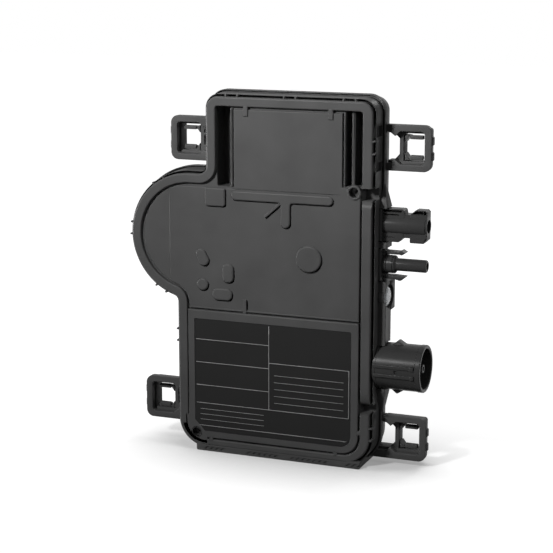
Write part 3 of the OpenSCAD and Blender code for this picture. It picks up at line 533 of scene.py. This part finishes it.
def marks_piece(gaps):
    """The raised marks, clips, tabs and screw rings. gaps takes the dark gaps beside them."""
    m = Maker()
    bar = (arc(30.6, 153.3, 2.75, -90, 90, 10) + arc(-25.4, 153.3, 2.75, 90, 270, 10)
           + [(0.6, 150.55)] + arc(0.4, 148.9, 1.65, 90, 0, 4)[1:]
           + [(2.05, 147.0)] + arc(5.0, 139.2, 2.95, 180, 360, 12)
           + [(7.95, 147.0)] + arc(9.6, 148.9, 1.65, 180, 90, 4))
    marks = [(rounded(-44.1, -31.6, 146.4, 157.0, [0.6, 0.6, 1.6, 1.6]), 0.8),
             (turned(rounded(-6.4, 6.0, -0.8, 0.8, 0.4, 3), -2.6, 146.2, 41), 0.5),
             (turned(rounded(-5.2, 5.2, -3.2, 3.2, 3.15, 8), -46.2, 116.2, -62), 1.1),
             (rounded(-33.7, -26.7, 102.2, 113.6, 3.3, 8), 1.1),
             (rounded(-40, -27.6, 91.6, 98.8, 3.3, 8), 1.1),
             (circle(-46.2, 100.3, 3.6, 36), 1.1), (circle(19.0, 119.6, 7.7, 64), 1.1),
             (bar, 1.0)]
    # Each mark stands in a gap that is wider at its lower right
    for loop, edge in marks:
        m.plate(loop, 0.0, 3.0, bevel=edge, steps=5)
        gaps.plate([(x + 0.5, z - 0.55) for x, z in inset(loop, -0.12)], -1, 2.4)
    # Shallow line between the upper plate and the lower face
    gaps.plate(rounded(-25.0, 37.0, 156.8, 157.15, 0.1, 1), -1, 1.25)
    gaps.plate(rounded(-20.4, -17.9, 84.0, 92.9, 0.3, 2), -1, 2.4)
    # Clips over the gap above the upper plate
    for x in (-18.9, 31.7):
        m.plate(rounded(x - 1.45, x + 1.45, 198.3, 204.4, 0.3, 2), 0.0, 3.0, bevel=0.45, steps=3)
    m.plate(rounded(-20.9, -18.7, 84.4, 93.4, 0.3, 2), 0.1, 3.0, bevel=0.4, steps=2)
    # Tabs over the frame's lower and right gaps
    for x in (-41.4, 35.8):
        m.plate(rounded(x - 1.3, x + 1.3, 6.0, 9.4, 0.3, 2), 0.0, 3.0, bevel=0.4, steps=2)
    m.plate(rounded(48.6, 51.2, 20.2, 22.6, 0.3, 2), 0.0, 3.0, bevel=0.4, steps=2)
    # Ring round the upper screw, and the small dot beside it
    m.plate([circle(*UPPER_SCREW, 4.1, 48), circle(*UPPER_SCREW, SCREW_BORE_R, 48)], 0.0, 3.0,
            bevel=0.45, steps=3)
    m.plate(circle(50.6, 162.4, 0.8, 16), 0.6, 3.0, bevel=0.5, steps=3)
    m.plate([circle(*LOWER_SCREW, 3.7, 40), circle(*LOWER_SCREW, SCREW_BORE_R, 40)], 0.0, 3.0,
            bevel=0.3, steps=2)
    return m.object("face_marks", HOUSING, flat=True)


def make_face():
    """The raised plateau, the label's frame and the marks on them."""
    face = plateau_piece()
    frame_plate = label_frame_piece()
    gaps = Maker()
    marks = marks_piece(gaps)
    cut(face, gaps, flat=True)
    for plate, screw, segments in ((face, UPPER_SCREW, 48), (frame_plate, LOWER_SCREW, 40)):
        tools = Maker()
        screw_bore(tools, screw, segments)
        cut(plate, tools, flat=True)
    for piece in (face, frame_plate, marks):
        finish_piece(piece)


def label_loop(g):
    """The label's edge, grown by g."""
    return rounded(-51.25 - g, 44.75 + g, 12.3 - g, 79.7 + g, [0.8, 0.8, 6.3, 6.3], 6)


def make_label():
    m = Maker()
    m.plate(label_loop(0), 0.1, 3.0, bevel=0.08, steps=1)
    label = m.object("label_film_plate", LABEL)
    finish_piece(label, replaces=["label_plate"])
    # Plain ruled lines; the fields between them stay bare
    m = Maker()
    rules = [(-4.95, -4.65, 29.3, 79.0), (-50.4, -4.8, 67.45, 67.75), (-50.4, -4.8, 53.75, 54.05),
             (-4.8, 43.9, 57.05, 57.35), (-4.8, 43.9, 29.15, 29.45), (43.6, 43.9, 29.3, 57.2),
             (-49.0, 42.6, 15.45, 15.75), (-50.4, -4.8, 40.0, 40.3), (-50.4, -4.8, 29.15, 29.45)]
    for x0, x1, low, pitch, count in ((-1.6, 40.6, 33.6, 4.1, 5), (-48.0, -8.0, 19.2, 3.2, 3)):
        rules += [(x0, x1, low + i * pitch, low + i * pitch + 0.2) for i in range(count)]
    for x0, x1, z0, z1 in rules:
        m.plate(rounded(x0, x1, z0, z1, 0.05, 1), 0.04, 0.3, bevel=0.03, steps=1)
    finish_piece(m.object("label_rules", RULES))


def nub_places():
    """Places and directions of the latch ribs across the rim's groove, which come in pairs."""
    places = []
    for s in (-0.5, 0.5):
        places += [(x + s * RIB_PITCH, TOP, 90) for x in (-27.5, 7.5, 42.5)]
        places += [(RIGHT, 184 + s * RIB_PITCH, 0), (RIGHT, 25 + s * RIB_PITCH - 4, 0),
                   (LEFT_UP, 184 + s * RIB_PITCH, 180), (LEFT_LOW, 69 + s * RIB_PITCH, 180)]
        for a in (122, 176, 240):
            t = a + s * math.degrees(RIB_PITCH / BULGE_R)
            c, d = math.cos(math.radians(t)), math.sin(math.radians(t))
            places.append((BULGE_X + BULGE_R * c, BULGE_Z + BULGE_R * d, t))
    return places


def make_nubs():
    m = Maker()
    for x, z, a in nub_places():
        m.plate(turned(rounded(-0.9, 1.5, -0.52, 0.52, 0.3, 3), x, z, a), 0.35, 7.0, bevel=0.2,
                steps=3)
    finish_piece(m.object("latch_ribs", HOUSING))


# ---- Rear housing ---------------------------------------------------------------------------
def make_rear():
    m = Maker()
    profile = [(-2.4, PART_Y), (2.8, PART_Y), (3.0, 15.4), (3.0, 16.1), (2.6, 16.3), (2.6, 16.5),
               (3.0, 16.7), (3.0, 17.7), (2.7, 18.0), (1.1, 18.05), (0.9, 18.3), (0.9, 27.4),
               (0.75, 28.1), (0.3, 28.7), (0.0, 28.9), (0.0, 29.6), (-0.2, 30.0), (-0.7, BACK_Y)]
    rings = [m.ring(outline(g), y) for g, y in profile]
    for a, b in zip(rings, rings[1:]):
        m.join(a, b)
    m.fill([rings[0]], [outline(-2.4)])
    pockets = [rounded(-48 + i * 25, -27 + i * 25, 14, 96, 3) for i in range(4)]
    pockets += [rounded(-30, 46, 172, 198, 3), circle(BULGE_X, BULGE_Z, BULGE_R - 12, 72)]
    tops = [m.ring(p, BACK_Y) for p in pockets]
    for p, top in zip(pockets, tops):
        last = top
        for d, dy in ((0.12, 0.08), (0.25, 0.35), (0.4, 0.7), (0.7, 0.8)):
            nxt = m.ring(inset(p, d), BACK_Y - dy)
            m.join(last, nxt)
            last = nxt
        m.fill([last], [inset(p, 0.7)])
    m.fill([rings[-1]] + tops, [outline(-0.7)] + pockets)
    # Bay behind the connectors
    bay = [(55, 162), (59, 160), (62, 149.5), (62, 44), (59, 31), (55, 29)]
    m.plate(bay, PART_Y, 19.5, bevel=0.5, steps=3, low_bevel=0.4)
    m.plate(rounded(-50.75, 50.75, 0.0, 6.0, [0.3, 0.3, 0.8, 0.8], 3), PART_Y, 27.0, bevel=0.1,
            steps=1, low_bevel=0.5)
    rear = m.object("rear_housing_shell", HOUSING, flat=True)
    side_cuts(rear)
    finish_piece(rear, replaces=["rear_housing"])


def make_hood():
    """The hood behind the light, its front cut out round the lens."""
    m = Maker()
    m.box((55.5, 17.6, 90.4), (62.6, 25, 107.6), 0.7)
    hood = m.object("light_hood", HOUSING)
    tools = Maker()
    tools.lathe([(57.1, 0), (57.1, 6.9), (70, 6.9), (70, 0)], AXIS_Y, LENS_Z, 48)
    cut(hood, tools)
    finish_piece(hood)


def make_foot():
    m = Maker()
    m.plate(rounded(-50.75, 50.75, 0.0, 4.5, [0.2, 0.2, 0.9, 0.9], 3), 0.0, PART_Y, bevel=0.3,
            steps=2, low_bevel=0.1)
    foot = m.object("foot_front", HOUSING)
    tools = Maker()
    foot_slots(tools)
    cut(foot, tools)
    finish_piece(foot)


# ---- Mounting ears --------------------------------------------------------------------------
def make_ear(node, root_x, side, z0):
    """An ear whose root is at root_x and whose lower edge is at z0. side is 1 to the right."""
    m = Maker()

    def at(points):
        return [(root_x + side * x, z0 + z) for x, z in points]

    # The lower right ear meets the housing's round corner, so its lower arm reaches further in
    foot = -8.5 if node == "ear_lower_right" else -1.5
    # Front frame, open at the root: round the outside, then back round the window
    outer = ([(foot, 0)] + arc(EAR_LEN - 4.4, 4.4, 4.4, 270, 360, 8)
             + arc(EAR_LEN - 4.4, EAR_H - 4.4, 4.4, 0, 90, 8)
             + [(-1.5, EAR_H), (-1.5, EAR_H - 4.2), (1.0, EAR_H - 4.2), (2.6, EAR_H - 4.6),
                (5.0, EAR_H - 6.4), (8.2, EAR_H - 3.7)]
             + arc(EAR_LEN - 6.0, EAR_H - 5.7, 2.0, 90, 0, 5)
             + arc(EAR_LEN - 6.0, 5.7, 2.0, 0, -90, 5)
             + [(8.2, 3.7), (5.0, 6.4), (2.6, 4.6), (1.0, 4.2), (foot, 4.2)])
    m.plate([at(outer)], EAR_Y, EAR_Y + 4.0, bevel=0.45, steps=3, low_bevel=0.15)
    # Rear frame round the window
    rear_outer = (arc(EAR_LEN - 3.7, 3.1, 1.5, 270, 360, 3)
                  + arc(EAR_LEN - 3.7, EAR_H - 3.7, 1.5, 0, 90, 3)
                  + [(0, EAR_H - 2.2), (0, EAR_H - 5), (3.4, EAR_H - 5), (6.6, EAR_H - 8),
                     (6.6, 9), (3.4, 5.4), (foot + 1.5, 5.4), (foot + 1.5, 1.6)])
    window = rounded(8.9, EAR_LEN - 4.9, 5.2, EAR_H - 5.0, 0.3, 2)
    m.plate([at(rear_outer), at(window)], EAR_Y + 4.1, EAR_Y + EAR_D, bevel=0.3,
            steps=2, low_bevel=0.3)
    # Sloped web at the post's foot and head
    for za, zb in ((6.0, 9.6), (EAR_H - 6.4, EAR_H - 10.0)):
        m.plate(at([(9.5, za - (0.4 if za < 12 else -0.4)), (12.2, za), (9.5, zb)]),
                EAR_Y + 4.6, EAR_Y + EAR_D - 1.0, bevel=0.2, steps=1)
    # Catches that a bracket snaps behind
    for za, zb in ((5.9, 8.0), (EAR_H - 8.4, EAR_H - 6.3)):
        m.plate(at(rounded(12.2, EAR_LEN - 6.3, za, zb, 0.35, 3)), EAR_Y + 5.0, EAR_Y + 8.2,
                bevel=0.4, steps=2, low_bevel=0.2)
        m.plate(at(rounded(12.6, EAR_LEN - 6.3, za, zb + (0.5 if za < 12 else 0), 0.2, 2)),
                EAR_Y + 6.2, EAR_Y + 7.0, bevel=0.15, steps=1)
    # Two low ridges on the outer edge
    for zc in (8.6, EAR_H - 8.6):
        m.plate(at(rounded(EAR_LEN - 1.0, EAR_LEN + 0.75, zc - 2.4, zc + 2.4, 0.7, 4)),
                EAR_Y + 1.2, EAR_Y + 3.9, bevel=0.3, steps=2, low_bevel=0.2)
    ear = m.object(node + "_frame", HOUSING)
    if node == "ear_upper_right":
        # Room for the bay's sloped head
        tools = Maker()
        tools.plate([(55, 162.5), (59.3, 161.0), (63, 149.5), (55, 149.5)], 14.0, 20.0)
        cut(ear, tools)
    finish_piece(ear, replaces=[node])


# ---- DC connectors --------------------------------------------------------------------------
def dc_base(m, z):
    """The plate on which a DC connector at height z stands."""
    m.plate(rounded(AXIS_Y - 6.2, AXIS_Y + 6.2, z - 9.5, z + 9.5, 1.2, 4), SEAT_X + 2.0,
            SEAT_X - 0.2, bevel=0.4, steps=3, place=facing_side)


def make_dc_socket():
    z = DC_SOCKET_Z
    m = Maker()
    dc_base(m, z)
    m.lathe([(SEAT_X, 0), (SEAT_X, 5.6), (TIP_X - 1.4, 5.6), (TIP_X - 1.1, 5.45),
             (TIP_X - 1.0, 5.1), (TIP_X - 0.3, 5.0), (TIP_X, 4.7), (TIP_X, 4.1),
             (TIP_X - 0.35, 3.75), (TIP_X - 14, 3.75), (TIP_X - 14, 0)], AXIS_Y, z, 64)
    y0, y1 = AXIS_Y - 3.8, AXIS_Y + 3.8
    notch = SEAT_X + 15.2
    back = notch + 3.4
    low = [(SEAT_X + 1, z - 9.3), (notch - 4.0, z - 9.3), (notch - 1.2, z - 6.7),
           (notch - 1.0, z), (notch - 0.6, z + 6.6), (notch - 1.0, z + 8.6),
           (notch - 1.7, z + 9.3), (SEAT_X + 1, z + 9.3)]
    high = [(back - 1.0, z - 8.7), (back - 0.6, z - 9.3), (TIP_X - 2.0, z - 9.3), (TIP_X, z - 7.3),
            (TIP_X, z + 8.2), (TIP_X - 1.1, z + 9.3), (back + 2.2, z + 9.3), (back - 0.8, z + 6.7)]
    for points in (low, high):
        m.plate(points, y0, y1, bevel=0.35, steps=3, low_bevel=0.35)
    m.plate(rounded(notch - 1.6, back, z - 6.6, z + 6.6, 0.1, 1), y0 + 0.25, y1 - 0.25)
    socket = m.object("dc_socket_body", CONNECTOR, 28)
    tools = Maker()
    tools.lathe([(TIP_X - 13.8, 0), (TIP_X - 13.8, 3.74), (TIP_X + 1, 3.74), (TIP_X + 1, 0)],
                AXIS_Y, z, 64)
    cut(socket, tools)
    tools = Maker()
    # Coring of the wings, open to the front and to the top
    tools.box((SEAT_X + 2.2, y0 - 1, z + 5.75), (SEAT_X + 11.2, y0 + 3.4, z + 6.5))
    tools.box((SEAT_X + 2.2, y0 - 1, z - 6.9), (SEAT_X + 9.2, y0 + 0.6, z - 6.3))
    tools.plate([(SEAT_X + 2.2, z + 7.5), (notch - 2.6, z + 7.5), (notch - 2.2, z + 8.75),
                 (SEAT_X + 2.2, z + 8.75)], y0 - 1, y0 + 5)
    tools.plate([(back + 0.4, z + 7.0), (TIP_X - 2.2, z + 7.0), (TIP_X - 2.2, z + 8.8),
                 (back + 2.3, z + 8.8)], y0 - 1, y0 + 5)
    tools.plate([(TIP_X - 1.9, z + 6.6), (TIP_X - 0.45, z + 7.4), (TIP_X - 0.45, z + 8.2),
                 (TIP_X - 1.2, z + 8.8), (TIP_X - 1.9, z + 8.8)], y0 - 1, y0 + 3)
    tools.plate([(TIP_X - 2.4, z - 8.7), (TIP_X - 0.5, z - 7.0), (TIP_X - 0.5, z - 5.9)],
                y0 - 1, y0 + 3)
    cut(socket, tools)
    finish_piece(socket, replaces=["dc_socket_housing"])


def make_dc_plug():
    z = DC_PLUG_Z
    m = Maker()
    dc_base(m, z)
    m.lathe([(SEAT_X, 0), (SEAT_X, 5.6), (SEAT_X + 4.2, 5.6), (SEAT_X + 4.5, 5.1),
             (SEAT_X + 7.6, 5.1), (SEAT_X + 7.8, 4.7), (SEAT_X + 8.0, 4.7), (SEAT_X + 8.15, 5.1),
             (SEAT_X + 8.9, 4.9), (SEAT_X + 9.7, 3.75), (SEAT_X + 9.9, 3.6),
             (TIP_X - 1.3, 3.6), (TIP_X - 0.8, 3.4), (TIP_X - 0.4, 3.0), (TIP_X - 0.4, 2.3),
             (TIP_X - 0.7, 2.05), (TIP_X - 6, 2.05), (TIP_X - 6, 0)], AXIS_Y, z, 64)
    for s in (-1, 1):
        c = z + s * 6.9
        m.plate(rounded(SEAT_X + 1, SEAT_X + 3.2, c - 1.9, c + 1.9, 0.4, 3), AXIS_Y - 3,
                AXIS_Y + 3, bevel=0.3, steps=2, low_bevel=0.3)
    finish_piece(m.object("dc_plug_body", CONNECTOR, 28),
                 replaces=["dc_plug_housing"])
    upper = [(0, -0.9), (8.4, -0.85), (9.4, -1.15), (9.9, -1.1), (11.8, 0.15), (9.7, 1.5),
             (9.1, 1.45), (7.8, 0.75), (0, 0.85)]
    lower = [(0, -0.95), (5.2, -1.0), (8.4, -1.85), (9.4, -1.75), (11.9, 0.3), (11.3, 0.6),
             (5, 0.9), (0, 0.9)]
    # Each latch arm is a blade on a round root, whose axis is its hinge
    for name, s, blade in (("upper", 1, upper), ("lower", -1, lower)):
        m = Maker()
        x0, c = SEAT_X + 3.3, z + s * 6.9
        points = [(x0 + u, c + v) for u, v in blade]
        m.plate(points, AXIS_Y - 3, AXIS_Y + 3, bevel=0.3, steps=2, low_bevel=0.3)
        m.lathe([(AXIS_Y - 3, 0), (AXIS_Y - 3, 0.9), (AXIS_Y - 2.8, 1.1), (AXIS_Y + 2.8, 1.1),
                 (AXIS_Y + 3, 0.9), (AXIS_Y + 3, 0)], x0, c, 24, False)
        finish_piece(m.object("dc_latch_arm_" + name, LATCH, 28),
                     "latch_" + name, ["dc_latch_" + name])


# ---- AC connector ---------------------------------------------------------------------------
def make_ac():
    m = Maker()
    m.lathe([(SEAT_X - 0.2, 0), (SEAT_X - 0.2, 13.6), (SEAT_X + 1.4, 13.6), (SEAT_X + 1.6, 13.35),
             (TIP_X - 3.2, 13.35), (TIP_X - 3.0, 13.6), (TIP_X - 0.5, 13.6), (TIP_X, 13.2),
             (TIP_X, 12.1), (TIP_X - 0.4, 11.6), (SEAT_X + 3, 11.6), (SEAT_X + 3, 0)],
            AXIS_Y, AC_Z, 96)
    for s in (-1, 1):
        z = AC_Z + s * 13.0
        bump = [(SEAT_X + 8.4, z), (SEAT_X + 11.0, z + s * 2.2), (SEAT_X + 11.9, z + s * 2.2),
                (SEAT_X + 15.4, z)]
        m.plate(bump, AXIS_Y - 3, AXIS_Y + 3, bevel=0.25, steps=2, low_bevel=0.25)
        z = AC_Z + s * 2.6
        m.plate(rounded(SEAT_X + 0.5, SEAT_X + 23.6, z - 1.0, z + 1.0, 0.3, 2), AXIS_Y - 13.95,
                AXIS_Y - 12, bevel=0.35, steps=3)
        m.plate(rounded(SEAT_X + 21.6, SEAT_X + 24, z - 1.3, z + 1.3, 0.3, 2), AXIS_Y - 14.05,
                AXIS_Y - 12, bevel=0.35, steps=3)
    shell = m.object("ac_shell", CONNECTOR, 28)
    tools = Maker()
    tools.box((SEAT_X + 12.6, AXIS_Y - 15, AC_Z - 0.9), (SEAT_X + 14.6, AXIS_Y - 12.6, AC_Z + 0.9))
    cut(shell, tools)
    finish_piece(shell, replaces=["ac_connector_shell"])
    m = Maker()
    m.lathe([(SEAT_X + 2.5, 0), (SEAT_X + 2.5, 8.2), (76.0, 8.2), (76.4, 7.8), (76.4, 7.0),
             (76.0, 6.8), (76.0, 2.7), (76.4, 2.5), (76.4, 0)], AXIS_Y, AC_Z, 64)
    finish_piece(m.object("ac_carrier_body", INNER_DARK, 28),
                 replaces=["ac_pin_carrier"])


# ---- Status light ---------------------------------------------------------------------------
def make_light():
    m = Maker()
    dome = [(58.2, 0), (58.2, 6.1), (60.4, 6.1), (60.6, 6.0)]
    dome += [(60.6 + 1.9 * math.sin(math.radians(t)), 5.9 * math.cos(math.radians(t)))
             for t in range(0, 90, 9)]
    dome += [(62.5, 0)]
    m.lathe(dome, AXIS_Y, LENS_Z, 64)
    finish_piece(m.object("status_window", LENS, 40), replaces=["status_lens"])
    m = Maker()
    m.lathe([(57.2, 0), (57.2, 6.75), (60.7, 6.75), (61.0, 6.6), (61.0, 6.35), (60.6, 6.15),
             (57.5, 6.15), (57.5, 0)], AXIS_Y, LENS_Z, 64)
    finish_piece(m.object("status_bezel", CONNECTOR, 28))


# ---- Carried-over nodes ---------------------------------------------------------------------
KEPT = {
    "housing_gasket": RUBBER, "cover_screws": BLACK_STEEL, "dc_socket_contact": TIN,
    "dc_plug_contact": TIN, "dc_seals": RUBBER, "ac_key_post": INNER_DARK, "ac_pins": TIN,
    "ac_seal": RUBBER, "status_board": BOARD, "status_led": LED, "circuit_board": BOARD,
    "board_screws": STEEL, "transformer_core": FERRITE, "transformer_winding": COPPER,
    "filter_inductors": COPPER, "film_capacitors": FILM_BOX, "bulk_capacitors": CAN,
    "dc_transistors": CHIP, "ac_transistors": CHIP, "heat_spreader": ALUMINIUM,
    "thermal_pad": PAD, "control_chips": CHIP, "ac_relay": RELAY, "surge_absorbers": VARISTOR,
    "dc_lead_bars": COPPER, "ac_lead_bars": COPPER,
}


def dress_nodes():
    """Materials for the solid nodes that show as they are."""
    for name, material in KEPT.items():
        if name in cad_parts:
            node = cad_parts[name]
            if node.material_slots:
                node.material_slots[0].material = material
            else:
                node.data.materials.append(material)


# ---- Stage ----------------------------------------------------------------------------------
def pale(name):
    """White paper that glows for the rays that show a background and keeps the lamps' shadow; a
    painted shadow dims its glow near the object.
    """
    mat = surface(name, (0.5, 0.5, 0.5), 0.9, spec=0.0, patch=0.01)
    nodes, links = mat.node_tree.nodes, mat.node_tree.links
    glow = nodes.new("ShaderNodeEmission")
    glow.inputs["Color"].default_value = (1, 1, 1, 1)
    # The glow is full away from the object, so that the floor runs out into white
    where = nodes.new("ShaderNodeTexCoord")
    far = nodes.new("ShaderNodeVectorMath")
    far.operation = "LENGTH"
    links.new(where.outputs["Object"], far.inputs[0])
    fade = nodes.new("ShaderNodeMapRange")
    fade.interpolation_type = "SMOOTHSTEP"
    for key, value in (("From Min", 0.12), ("From Max", 0.5), ("To Min", 0.86), ("To Max", 1.0)):
        fade.inputs[key].default_value = value
    links.new(far.outputs["Value"], fade.inputs["Value"])
    # and a painted shadow, from ambient occlusion, dims the glow where the object stands close
    # above or beside the floor
    painted_shadow_ao = nodes.new("ShaderNodeAmbientOcclusion")
    painted_shadow_ao.samples = 16
    painted_shadow_ao.inputs["Distance"].default_value = 0.085
    painted_shadow_dim = nodes.new("ShaderNodeMapRange")
    for key, value in (("From Min", 0.5), ("From Max", 0.97), ("To Min", 0.3), ("To Max", 1.0)):
        painted_shadow_dim.inputs[key].default_value = value
    links.new(painted_shadow_ao.outputs["AO"], painted_shadow_dim.inputs["Value"])
    glowing = nodes.new("ShaderNodeMath")
    glowing.operation = "MULTIPLY"
    links.new(fade.outputs["Result"], glowing.inputs[0])
    links.new(painted_shadow_dim.outputs["Result"], glowing.inputs[1])
    links.new(glowing.outputs[0], glow.inputs["Strength"])
    both = nodes.new("ShaderNodeAddShader")
    links.new(nodes["Principled BSDF"].outputs[0], both.inputs[0])
    links.new(glow.outputs[0], both.inputs[1])
    # For all other rays it is plain grey paper
    plain = nodes.new("ShaderNodeBsdfDiffuse")
    plain.inputs["Color"].default_value = (0.12, 0.12, 0.12, 1)
    mix = nodes.new("ShaderNodeMixShader")
    links.new(shown_rays(nodes, links), mix.inputs["Fac"])
    links.new(plain.outputs[0], mix.inputs[1])
    links.new(both.outputs[0], mix.inputs[2])
    links.new(mix.outputs[0], nodes["Material Output"].inputs["Surface"])
    return mat


def shown_rays(nodes, links):
    """1 for camera, glossy and transmission rays, and 0 for the others."""
    path = nodes.new("ShaderNodeLightPath")
    value = path.outputs["Is Camera Ray"]
    for name in ("Is Glossy Ray", "Is Transmission Ray"):
        either = nodes.new("ShaderNodeMath")
        either.operation = "MAXIMUM"
        links.new(value, either.inputs[0])
        links.new(path.outputs[name], either.inputs[1])
        value = either.outputs[0]
    return value


def make_floor():
    m = Maker()
    m.plate(rounded(-3000, 3000, -3000, 3000, 1.0, 1), 0, -20, place=facing_up)
    m.object("floor", pale("floor_paper"))


def make_world():
    world = bpy.data.worlds.new("studio")
    world.use_nodes = True
    nodes, links = world.node_tree.nodes, world.node_tree.links
    back = nodes["Background"]
    back.inputs["Color"].default_value = (1, 1, 1, 1)
    back.inputs["Strength"].default_value = 0.05
    shown = nodes.new("ShaderNodeBackground")
    shown.inputs["Color"].default_value = (1, 1, 1, 1)
    shown.inputs["Strength"].default_value = 1.0
    mix = nodes.new("ShaderNodeMixShader")
    links.new(shown_rays(nodes, links), mix.inputs["Fac"])
    links.new(back.outputs[0], mix.inputs[1])
    links.new(shown.outputs[0], mix.inputs[2])
    links.new(mix.outputs[0], nodes["World Output"].inputs["Surface"])
    bpy.context.scene.world = world
    bpy.context.scene.view_settings.view_transform = "Standard"


def place_object(name, data, where, aim):
    """A lamp or camera at where, looking along aim."""
    obj = bpy.data.objects.new(name, data)
    bpy.context.scene.collection.objects.link(obj)
    obj.location = where
    obj.rotation_mode = "QUATERNION"
    obj.rotation_quaternion = aim.to_track_quat("-Z", "Y")
    return obj


def lamp(name, where, towards, size, watts, spread=180):
    """A round soft lamp. Places and size are in metres, spread in degrees."""
    data = bpy.data.lights.new(name, "AREA")
    data.shape = "DISK"
    data.size = size
    data.energy = watts
    data.spread = math.radians(spread)
    place_object(name, data, where, Vector(towards) - Vector(where))


def make_lamps():
    middle = (0, 0.01, 0.11)
    lamp("key_lamp", (-0.24, -0.6, 0.5), (0, 0.0, 0.262), 0.12, 0.89, 60)
    lamp("back_lamp", (0.3, 0.85, 0.7), middle, 0.3, 2)
    lamp("side_lamp", (1.1, -0.25, 0.5), middle, 0.2, 1.8)
    lamp("left_lamp", (-0.9, 0.02, 0.08), (0, 0, 0.12), 0.24, 9)


def make_camera():
    data = bpy.data.cameras.new("camera")
    data.lens = 103.5
    data.sensor_width = 36
    azimuth, elevation, distance = math.radians(21.5), math.radians(11.83), 0.9
    away = Vector((math.sin(azimuth) * math.cos(elevation),
                   -math.cos(azimuth) * math.cos(elevation), math.sin(elevation)))
    target = Vector((0, 0, 0.10844))
    bpy.context.scene.camera = place_object("camera", data, target + away * distance, -away)


make_floor()
make_world()
make_lamps()
make_camera()
dress_nodes()
make_cover()
make_bay()
make_face()
make_label()
make_nubs()
make_rear()
make_hood()
make_foot()
for node, root_x, side, z0 in (
    ("ear_upper_left", -45.9, -1, 170.0), ("ear_upper_right", 59.0, 1, 170.0),
    ("ear_lower_left", -64.5, -1, 12.3), ("ear_lower_right", 59.0, 1, 3.8),
):
    make_ear(node, root_x, side, z0)
make_dc_socket()
make_dc_plug()
make_ac()
make_light()
